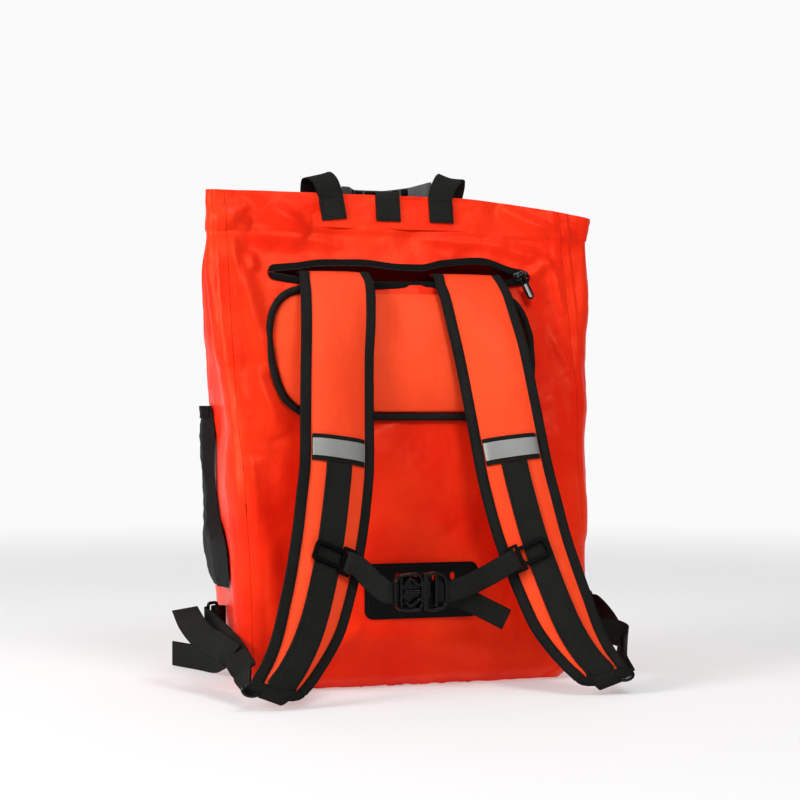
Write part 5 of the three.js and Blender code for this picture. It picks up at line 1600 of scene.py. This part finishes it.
def strap_face(station, across):
    """Height of the strap's face over its middle: a soft crown that thins to the binding."""
    thin = min(BINDING_EDGE, station["rise"] * SHOULDER_SHARE)
    inner = station["half"] - BINDING_WIDTH
    far = abs(across)
    if far >= inner:
        return thin
    return thin + (station["rise"] - thin) * (1 - (far / inner) ** 3.2)


def strap_body(side):
    word = SIDES[side]

    def profile(station, i):
        edge = station["half"] - BINDING_THICKNESS - GAP
        shares = spread(-1, 1, 22)
        upper = [(share * edge, strap_face(station, share * edge)) for share in reversed(shares)]
        lower = [(share * edge, -strap_face(station, share * edge)) for share in shares]
        return lower + upper

    piece = swept(f"strap_pad_{word}", strap_stations(side), profile)
    held = piece.vertex_groups.new(name="held")
    stations = strap_stations(side)
    for point in piece.data.vertices:
        place = point.co / MM
        near = min(stations, key=lambda s: (s["p"] - place).length_squared)
        across = (place - near["p"]).dot(near["w"])
        lower_half = near["drop"] > CROSSBAND_DROP - 0.04
        if abs(across) > near["half"] - BINDING_WIDTH + 1 or near["drop"] < 0.03 or near["drop"] > 0.92:
            held.add([point.index], 1.0, "REPLACE")
        elif lower_half:
            held.add([point.index], 1.0, "REPLACE")
    puffed(piece, 2.5, 1.6, "held")
    piece.vertex_groups.clear()
    shaded(piece, SOFT_ANGLE)
    dressed(piece, STRAP_RED, replaced=(f"shoulder_strap_{word}",))


def strap_bindings(side):
    word = SIDES[side]
    stations = strap_stations(side)[3:]
    for name, edge_side in (("outer", side), ("inner", -side)):
        def profile(station, i, edge_side=edge_side):
            inner = station["half"] - BINDING_WIDTH
            outer = station["half"]
            thin = min(BINDING_EDGE, station["rise"] * SHOULDER_SHARE) + GAP
            skin = thin + BINDING_THICKNESS * 0.85
            bulge = 0.25 * math.sin(i * 0.9 + side) * 0.4
            round_over = [(outer - 1.6 + 1.6 * math.cos(a), skin * math.sin(a) + bulge)
                          for a in spread(math.pi / 2, -math.pi / 2, 8)]
            outside = [(inner, thin + 0.2), (inner + 0.5, skin - 0.1), (inner + 3, skin), *round_over,
                       (inner + 3, -skin), (inner + 0.5, -skin + 0.1), (inner, -thin - 0.2)]
            inside = [(inner + 0.2, -thin), (outer - BINDING_THICKNESS - 0.6, -thin + 0.2),
                      (outer - BINDING_THICKNESS, 0), (outer - BINDING_THICKNESS - 0.6, thin - 0.2),
                      (inner + 0.2, thin)]
            return [(edge_side * w, n) for w, n in outside + inside]

        piece = swept(f"strap_edge_tape_{name}_{word}", stations, profile)
        finished(piece, TAPE, replaced=(f"strap_binding_{name}_{word}",), angle=FIRM_ANGLE)
        skin = GAP + BINDING_THICKNESS * 0.85
        stitches(f"strap_edge_stitching_{name}_{word}", stations,
                 lambda s, e=edge_side: e * (s["half"] - BINDING_WIDTH + 1.6),
                 lambda s: min(BINDING_EDGE, s["rise"] * SHOULDER_SHARE) + skin + 0.05, 3.2)


def layer(name, stations, half, lift, thickness, finish, replaced):
    """A band that lies on a strap's face."""

    def profile(station, i):
        reach = min(half, station["half"] - BINDING_WIDTH - 0.8)
        shares = spread(-1, 1, 12)
        under = [(share * reach, strap_face(station, share * reach) + lift) for share in shares]
        over = [(share * reach * (0.985 if abs(share) == 1 else 1),
                 strap_face(station, share * reach) + lift + thickness) for share in reversed(shares)]
        return under + over

    piece = swept(name, stations, profile)
    finished(piece, finish, replaced=(replaced,))
    return piece


def strap_trim(side):
    word = SIDES[side]
    cross_half = CROSSBAND_HEIGHT / SLIT_HEIGHT / 2
    reflect_half = REFLECTOR_HEIGHT / SLIT_HEIGHT / 2
    cross = strap_between(side, CROSSBAND_DROP - cross_half, CROSSBAND_DROP + cross_half, 10)
    layer(f"strap_band_{word}", cross, STRAP_HALF_WIDTH, GAP + 0.5, CROSSBAND_THICKNESS, TAPE,
          f"strap_crossband_{word}")
    reflect = strap_between(side, CROSSBAND_DROP - reflect_half, CROSSBAND_DROP + reflect_half, 8)
    layer(f"strap_reflective_tape_{word}", reflect, STRAP_HALF_WIDTH - 0.5,
          GAP + 0.5 + CROSSBAND_THICKNESS + 0.1,
          REFLECTOR_THICKNESS, REFLECTOR, f"strap_reflector_{word}")
    web = strap_between(side, CROSSBAND_DROP + cross_half + GAP / SLIT_HEIGHT * 2, LAST_DROP, 90)
    web += past_the_end(web[-1], side)
    layer(f"strap_face_webbing_{word}", web, WEBBING / 2, GAP, WEBBING_THICKNESS, WEB,
          f"strap_webbing_{word}")
    for edge in (-1, 1):
        stitches(f"strap_face_stitching_{'a' if edge < 0 else 'b'}_{word}", web,
                 lambda s, e=edge: e * (WEBBING / 2 - 2.2),
                 lambda s: strap_face(s, WEBBING / 2 - 2.2) + GAP + WEBBING_THICKNESS + 0.1, 3.2)
    for share in (-1, 1):
        drop = CROSSBAND_DROP + share * (cross_half - 0.005)
        run = strap_cross(side, drop)
        stitches(f"strap_band_stitching_{'top' if share < 0 else 'low'}_{word}", run, lambda s: 0.0,
                 lambda s: 0.12, 2.8)


def past_the_end(end, side):
    """Stations that carry the face webbing over the strap's folded end and on towards the lock."""
    stations = []
    outward = end["n"].cross(end["t"]).normalized() * side
    for along, lift, half in ((1, 0.5, 1), (3, 1.0, 1), (7, 1.1, 1), (10, 0.5, 1), (12.5, -0.8, 0.97),
                              (14, -2.4, 0.9)):
        station = dict(end)
        station["p"] = end["p"] + end["t"] * along + end["n"] * lift + outward * along * 0.35
        station["w"] = (outward * side + end["t"] * side * 0.12) * half
        stations.append(station)
    return stations


def strap_cross(side, drop):
    """Stations across a strap, on the face of its crossband."""
    station = strap_between(side, drop, drop + 0.003, 1)[0]
    reach = station["half"] - BINDING_WIDTH - 3
    places = []
    for across in spread(-reach, reach, 20):
        off = strap_face(station, across) + GAP + 0.5 + CROSSBAND_THICKNESS
        places.append({"p": station["p"] + station["w"] * across + station["n"] * off,
                       "w": station["t"], "n": station["n"]})
    return places


def end_station(side):
    return strap_stations(side)[-1]


def end_cap(side):
    """The binding that folds over a strap's lower end."""
    end = end_station(side)
    word = SIDES[side]
    stations = []
    for along, share, shift in ((0.2, 1.0, 0), (3, 1.02, 0.6), (6, 0.98, 1.4), (8.5, 0.88, 2.6),
                                (10.4, 0.7, 4)):
        station = dict(end)
        station["p"] = end["p"] + end["t"] * along + end["w"] * side * shift
        station["share"] = share
        stations.append(station)

    def profile(station, i):
        half = end["half"] * 0.97 * station["share"]
        rise = (end["rise"] + 0.9) * (1 - 0.12 * i)
        return rounded_section(24, half, rise, 0.5, 0.7)

    piece = swept(f"strap_end_tape_{word}", stations, profile)
    edge_rounded(piece, 0.6)
    finished(piece, TAPE, replaced=(f"strap_end_cap_{word}",), angle=FIRM_ANGLE)


for strap_side in SIDES:
    strap_body(strap_side)
    strap_bindings(strap_side)
    strap_trim(strap_side)
    end_cap(strap_side)


# ---------------------------------------------------------------- sternum strap


def glide_frame(side):
    station = strap_between(side, GLIDE_DROP, GLIDE_DROP + 0.003, 1)[0]
    lift = station["rise"] + WEBBING_THICKNESS + 2 * GAP
    turn = math.radians(GLIDE_TURN[side])
    w = (station["w"] * math.cos(turn) + station["t"] * math.sin(turn)).normalized()
    n = station["n"]
    t = n.cross(w).normalized()
    p = station["p"] + n * lift + station["w"] * GLIDE_SHIFT[side]
    return {"p": p, "w": w, "t": t, "n": n}


def bar(name, places, width, thickness, closed=False, off=Vector((0, -1, 0))):
    """A moulded bar with rounded edges, through places in a plane square to off."""
    stations = [{"p": place, "w": (after - before).normalized().cross(off).normalized(), "n": off}
                for place, (before, after) in zip(places, neighbours(places, closed))]
    section = rounded_section(16, width / 2, thickness / 2, 0.55, 0.55)
    return swept(name, stations, lambda station, i: section, closed)


def joined(name, pieces):
    alone(pieces[0])
    for piece in pieces:
        piece.select_set(True)
    bpy.ops.object.join()
    pieces[0].name = name
    pieces[0].data.name = name
    shaded(pieces[0], FIRM_ANGLE)
    return pieces[0]


def side_release_buckle(centre):
    """The buckle's two halves, closed: a socket with open sides and a fork with sprung prongs."""

    def path(points, out=0.0, ring=False):
        return smooth_path([centre + Vector((across, -out, up)) for across, up in points], 1.0, ring)

    frame = ((-24, -9), (-24, 9), (-21, 14), (-15, 15.5), (-3, 15.5), (0, 13), (0, -13), (-3, -15.5),
             (-15, -15.5),
             (-21, -14))
    socket = [
        bar("socket_frame", path(frame, 0, True), 3.2, 7.2, True),
        bar("socket_floor", path(((-20, 0), (-10, 0), (-1, 0)), -2.2), 27, 2.4),
        bar("socket_crossbar", path(((-18.5, -13.5), (-18.5, 0), (-18.5, 13.5)), 0.2), 3.0, 4.6),
        bar("socket_guide", path(((-16, 0), (-8, 0), (-1, 0)), 0.8), 4.2, 3.6),
    ]
    dressed(joined("buckle_socket", socket), PLASTIC, replaced=("buckle_female",))
    ring = ((5, -13), (5, 13), (9, 16), (16, 16), (22, 13.5), (24, 8), (24, -8), (22, -13.5), (16, -16),
            (9, -16))
    fork = [
        bar("fork_shoulder", path(((4.2, -16.8), (4.2, 0), (4.2, 16.8)), 0.4), 5.2, 8.0),
        bar("fork_frame", path(ring, 0, True), 3.4, 6.4, True),
        bar("fork_crossbar", path(((14.5, -14), (14.5, 0), (14.5, 14)), 0.4), 3.2, 5.0),
        bar("fork_latch", path(((6.6, -4), (6.6, 9)), 3.6), 2.6, 2.6),
    ]
    for up in (-1, 1):
        prong = ((4, 8 * up), (-1, 6.6 * up), (-5, 8.2 * up), (-8, 11.4 * up), (-11, 11.8 * up),
                 (-14, 8.6 * up),
                 (-16, 7.4 * up))
        fork.append(bar("fork_prong", path(prong, 2.2), 3.2, 4.2))
    dressed(joined("buckle_fork", fork), PLASTIC, replaced=("buckle_male",))


def sternum_strap():
    buckle = Vector((BUCKLE_OFFSET, back_face(BUCKLE_OFFSET, BUCKLE_HEIGHT) - BUCKLE_STAND_OFF, BUCKLE_HEIGHT))
    half = BUCKLE_LENGTH / 2
    x, up, off = Vector((1, 0, 0)), Vector((0, 0, 1)), Vector((0, -1, 0))
    for side, word in SIDES.items():
        f = glide_frame(side)
        inward = -side
        pin_across = inward * (GLIDE_LENGTH / 2 + STERNUM_PIN + STERNUM_THICKNESS + 2 * GAP)
        wrap = STERNUM_PIN + GAP + STERNUM_THICKNESS / 2
        lift = GLIDE_THICKNESS / 2

        def at(across, along, out):
            return f["p"] + f["w"] * across + f["t"] * along + f["n"] * out

        route = []
        for degrees in (-60, -10, 40, 90):
            angle = math.radians(degrees)
            route.append(row(at(pin_across - inward * wrap * math.cos(angle), 0, lift + wrap * math.sin(angle)),
                             f["t"] * side))
        end = buckle + x * side * (half - (9 if side > 0 else 5.5)) - off * 1.4
        lead = buckle + x * side * (half + 6)
        leave = at(pin_across + inward * 9, -1, lift + wrap + 0.6)
        near = lead.lerp(leave, 0.45) - up * 2
        for place, share in ((leave, 0.15), (near, 0.7), (lead, 0.9), (end, 1.0)):
            route.append(row(place, f["t"].lerp(up, share).normalized() * side))
        band(f"sternum_band_{word}", route, f"sternum_webbing_{word}",
             width=STERNUM_WEBBING, thickness=STERNUM_THICKNESS)
    side_release_buckle(buckle)
    under = BUCKLE_THICKNESS / 2 + GAP + STERNUM_THICKNESS / 2
    start = buckle - off * under
    route = []
    shares = ((2, 0, 0), (half, 4, -2), (half + 0.3 * STERNUM_TAIL_LENGTH, 9, -4),
              (half + 0.62 * STERNUM_TAIL_LENGTH, 20, -4), (half + 0.86 * STERNUM_TAIL_LENGTH, 29, -3))
    for distance, drop, out in shares:
        route.append(row(start + x * distance - up * drop + off * out, (0.2, 0, 1)))
    band("sternum_loose_end", route, "sternum_tail", width=STERNUM_WEBBING, thickness=STERNUM_THICKNESS)


sternum_strap()


# ---------------------------------------------------------------- zip pull


def pull_place(across, up):
    """A place in the plane of the hanging pull, from its pin."""
    x = SLIT_HALF_WIDTH - SLIDER_LENGTH
    low, high = on_back(x, SLIT_HEIGHT - 9, 0), on_back(x, SLIT_HEIGHT + 9, 0)
    rise, right = (high - low).normalized(), Vector((1, 0, 0))
    off = right.cross(rise)
    turn = math.radians(SLIDER_TILT)
    w = right * math.cos(turn) + rise * math.sin(turn)
    t = rise * math.cos(turn) - right * math.sin(turn)
    return on_back(x, SLIT_HEIGHT, 0) + off * PIN_HEIGHT + w * across + t * up, off


def zip_pull():
    """The pull: a dark loop round a grey plate."""

    def path(points, ring=False):
        return smooth_path([pull_place(*point)[0] for point in points], 0.6, ring)

    off = pull_place(0, 0)[1]
    loop = bar("pull_loop", path(((-2.3, 0.4), (-2.7, -8), (-2.9, -20), (-2.4, -25), (0, -26.3), (2.4, -25),
                                  (2.9, -20), (2.7, -8), (2.3, 0.4), (0, 2.3)), True), 1.7, 2.2, True, off)
    finished(loop, PLASTIC, "zip_pull", replaced=("zip_pull",), angle=FIRM_ANGLE)
    plate = bar("pull_plate", path(((0, -10.5), (0, -16), (0, -24.5))), 4.2, 1.2, False, off)
    finished(plate, STEEL, "zip_pull", angle=FIRM_ANGLE)


zip_pull()


# ---------------------------------------------------------------- lower anchors and loose ends


def anchor_place(side):
    y = -ANCHOR_SET_BACK
    low = ANCHOR_HEIGHT - WEBBING / 2
    heights = (low, ANCHOR_HEIGHT, ANCHOR_HEIGHT + WEBBING / 2)
    x = side * max(abs(side_face(side, y, z)) for z in heights)
    reach = ANCHOR_TAB[side]
    eye = Vector((x + side * (GAP + reach), y, ANCHOR_HEIGHT))
    outer = eye + Vector((side * RING_WIDTH * 0.86, -RING_WIDTH * 0.5, 0))
    return x, y, reach, eye, outer


def anchor_tab(side):
    """A folded piece of webbing that holds the ring."""
    x, y, reach, eye, _ = anchor_place(side)
    bulb = 2.2 * RING_WIRE + GAP + WEBBING_THICKNESS / 2
    route = [row((x + side * (GAP + 0.4), y + WEBBING_THICKNESS * 0.62, ANCHOR_HEIGHT), (0, 0, 1))]
    route.append(row(eye + Vector((-side * bulb * 1.5, WEBBING_THICKNESS * 0.62, 0)), (0, 0, 1)))
    for degrees in spread(120, -120, 10):
        angle = math.radians(degrees)
        route.append(row(eye + Vector((side * bulb * math.cos(angle), bulb * math.sin(angle), 0)), (0, 0, 1)))
    route.append(row(eye + Vector((-side * bulb * 1.5, -WEBBING_THICKNESS * 0.62, 0)), (0, 0, 1)))
    route.append(row((x + side * (GAP + 0.4), y - WEBBING_THICKNESS * 0.62, ANCHOR_HEIGHT), (0, 0, 1)))
    band(f"anchor_loop_{SIDES[side]}", route, f"anchor_tab_{SIDES[side]}", 1.6)


# Middle of the lock's lever: outward and down from the middle of the strap's end
LEVER_PLACE = {-1: (19.0, 17.0), 1: (16.0, 14.0)}
LEVER_LENGTH = 20.0
LEVER_WIDTH = 13.0


def lock_frame(side):
    end = end_station(side)
    w = end["n"].cross(end["t"]).normalized()
    outward, down = LEVER_PLACE[side]
    return {"p": end["p"] + w * side * outward + end["t"] * down, "w": w, "t": end["t"], "n": end["n"]}


def strap_lock(side):
    """The lock's lever, that shows as a glossy oval past the end of the strap."""
    lock = lock_frame(side)
    long = (lock["w"] + lock["t"] * side * 0.75).normalized()
    across = lock["n"].cross(long)
    stations = []
    for off, share in ((-2.6, 0.55), (-2.0, 0.86), (-0.8, 1.0), (0.8, 1.0), (1.9, 0.9), (2.3, 0.74),
                       (1.9, 0.62),
                       (1.7, 0.3)):
        stations.append({"p": lock["p"] + lock["n"] * off, "w": long, "n": across, "share": share})

    def profile(station, i):
        length, width = station["share"] * LEVER_LENGTH / 2, station["share"] * LEVER_WIDTH / 2
        return [(length * math.cos(angle), width * math.sin(angle))
                for angle in spread(0, 2 * math.pi, 32)[:-1]]

    piece = swept(f"strap_lock_{SIDES[side]}", stations, profile)
    finished(piece, PLASTIC, replaced=(f"ladder_lock_{SIDES[side]}",), angle=FIRM_ANGLE)


def lower_webbing(side):
    """Webbing from the anchor ring to the strap's end."""
    outer = anchor_place(side)[4]
    wrap = RING_WIRE + GAP + WEBBING_THICKNESS / 2
    lock = lock_frame(side)
    end = lock["p"] - lock["n"] * (LOCK_THICKNESS / 2 + WEBBING_THICKNESS)
    pull = outer - end
    if side < 0:
        return left_lower_webbing(outer, end, pull, wrap)

    up, bulge = Vector((0, 0, 1)), 16
    route = [
        row(outer + Vector((-wrap * 0.6, wrap * 0.8, 0)), up),
        row(outer + Vector((wrap * 0.5, wrap * 0.87, 0)), up),
        row(outer + Vector((wrap, 0, 0)), up),
        row(outer + Vector((wrap, -8, 0)), up),
        row(end + pull * 0.62 + Vector((bulge, 0, -2)), up),
        row(end + pull * 0.34 + Vector((bulge * 0.4, 0, -2)), up.lerp(lock["w"], 0.3).normalized()),
        row(end + pull * 0.13, up.lerp(lock["w"], 0.75).normalized()),
        row(end, lock["w"]),
    ]
    band(f"lower_band_{SIDES[side]}", route, f"lower_webbing_{SIDES[side]}")


def left_lower_webbing(outer, end, pull, wrap):
    """The left lower webbing twists from the ring to lie flat to the camera."""
    down = Vector((0, 0, -1))
    flat = Vector((-0.93, 0.05, -0.37))
    route = [
        row(outer + Vector((wrap * 0.6, wrap * 0.8, 0)), down),
        row(outer + Vector((-wrap * 0.5, wrap * 0.87, 0)), down),
        row(outer + Vector((-wrap, 0, 0)), down),
        row(outer + Vector((-wrap + 1, -7, -3)), down.lerp(flat, 0.35).normalized()),
        row(end + pull * 0.74 + Vector((1, -9, 0)), down.lerp(flat, 0.8).normalized()),
        row(end + pull * 0.55 + Vector((4, -13, 0)), flat),
        row(end + pull * 0.38 + Vector((4, -11, 0)), flat),
        row(end + pull * 0.28 + Vector((5, -5, 0)), (-0.45, 0.85, -0.2)),
        row(end + pull * 0.16 + Vector((3, 4, 2)), (-0.1, 0.98, -0.1)),
        row(end + Vector((2, 9, 5)), (0, 1, 0)),
    ]
    band("lower_band_left", route, "lower_webbing_left")


def loose_ends():
    lock = lock_frame(-1)
    outer = anchor_place(-1)[4]
    slack = outer - lock["p"]

    def along(share, sideways, rise):
        return lock["p"] + slack * share + Vector((sideways, 0, rise))

    upper = [
        row(along(0.38, 1, 4) + Vector((0, 12, 0)), (0.6, 0.14, 0.78)),
        row(along(0.50, -8, 6) + Vector((0, 11, 0)), (0.6, 0.14, 0.78)),
        row(along(0.64, -17, 6) + Vector((0, 6, 0)), (0.7, 0.12, 0.68)),
        row(along(0.80, -22, 8), (0.86, 0.1, 0.5)),
        row(along(0.98, -23, 12), (0.98, 0.05, 0.16)),
    ]
    band("loose_end_left", upper, "loose_tail_left", 2.5)

    rest = WEBBING / 2 + 0.6
    seat = side_face(-1, -4, 1.5 * WEBBING) - GAP - WEBBING_THICKNESS / 2
    floor = [
        row((seat, -4, rest + 12), (0.05, 0, 1)), row((seat - 0.8, 12, rest + 8), (0, 0, 1)),
        row((seat - 4, 0.35 * FLOOR_TAIL_LENGTH, rest + 1), (0, 0, 1)),
        row((seat - 15, 0.65 * FLOOR_TAIL_LENGTH, rest), (0, 0, 1)),
        row((seat - 33, FLOOR_TAIL_LENGTH, rest), (0, 0, 1)),
    ]
    band("floor_end_left", floor, "floor_tail_left", 2.5)

    far = lock_frame(1)
    start = far["p"] + Vector((4, 3, 4))
    curl = [
        row(start + Vector((0, 2, 6)), (0, 0.2, 1)), row(start + Vector((8, 22, 12)), (0, 0.1, 1)),
        row(start + Vector((20, 44, 18)), (0.1, 0.1, 1)), row(start + Vector((26, 60, 22)), (0.1, 0, 1)),
        row(start + Vector((22, 72, 25)), (0, 0, 1)), row(start + Vector((12, 76, 26)), (0, 0, 1)),
        row(start + Vector((-4, 74, 26)), (0, 0, 1)),
    ]
    band("loose_end_right", curl, "loose_tail_right", 2.5)


for anchor_side in SIDES:
    anchor_tab(anchor_side)
    strap_lock(anchor_side)
    lower_webbing(anchor_side)
loose_ends()


# ---------------------------------------------------------------- side pocket


def pocket_place(share, z, off):
    height = POCKET_TOP - POCKET_BOTTOM
    depth = POCKET_BACK - POCKET_FRONT
    up = (z - POCKET_BOTTOM) / height
    front = POCKET_FRONT + pocket_front_share(up) * depth
    back = POCKET_FRONT + depth * pocket_back_share(up)
    y = front + (back - front) * share
    swell = POCKET_BULGE * pocket_bulge_share(up) * min(1.0, 4.5 * share, 6 * (1 - share))
    crumple = (1.6 * noise.noise(Vector((y / 13, z / 16, 2.0)))
               + 0.7 * noise.noise(Vector((y / 5, z / 7, 6.0))))
    crumple *= ease(min(share, 1 - share) / 0.15)
    return Vector((side_face(-1, y, z) - (2 * GAP + 1.0 + max(0.0, swell + crumple) + off), y, z))


def side_pocket():
    height = POCKET_TOP - POCKET_BOTTOM

    def place(u, v):
        return pocket_place(u, POCKET_BOTTOM + height * v, 0.6)

    piece = sheet("pocket_net", 44, 80, place, POCKET_BACK - POCKET_FRONT, height, 0.6, (-1, 0, 0))
    finished(piece, NET, replaced=("mesh_pocket",), angle=SOFT_ANGLE)

    def hem(u, v):
        return pocket_place(0.06 + 0.86 * u, POCKET_TOP - POCKET_HEM * (1 - v), 1.9)

    piece = sheet("pocket_elastic", 30, 6, hem, 40, POCKET_HEM, 1.0, (-1, 0, 0))
    finished(piece, TAPE, replaced=("pocket_hem",))


side_pocket()


# ---------------------------------------------------------------- hard parts that keep their CAD shape


def moulded(name, finish, width):
    """Rounds the edges of a CAD node and gives it its finish."""
    node = frame["nodes"][name]
    weld = node.modifiers.new("weld", "WELD")
    weld.merge_threshold = 1e-6
    bevel = node.modifiers.new("edges", "BEVEL")
    bevel.width = width * MM
    bevel.segments = 2
    bevel.limit_method = "ANGLE"
    bevel.angle_limit = math.radians(32)
    node.data.materials.clear()
    node.data.materials.append(finish)
    for face in node.data.polygons:
        face.use_smooth = False


for side_word in SIDES.values():
    moulded(f"sternum_glide_{side_word}", SATIN_PLASTIC, 0.6)
    moulded(f"anchor_ring_{side_word}", PLASTIC, 0.2)
    moulded(f"sternum_pin_{side_word}", STEEL, 0.2)
moulded("zip_slider", METAL, 0.3)
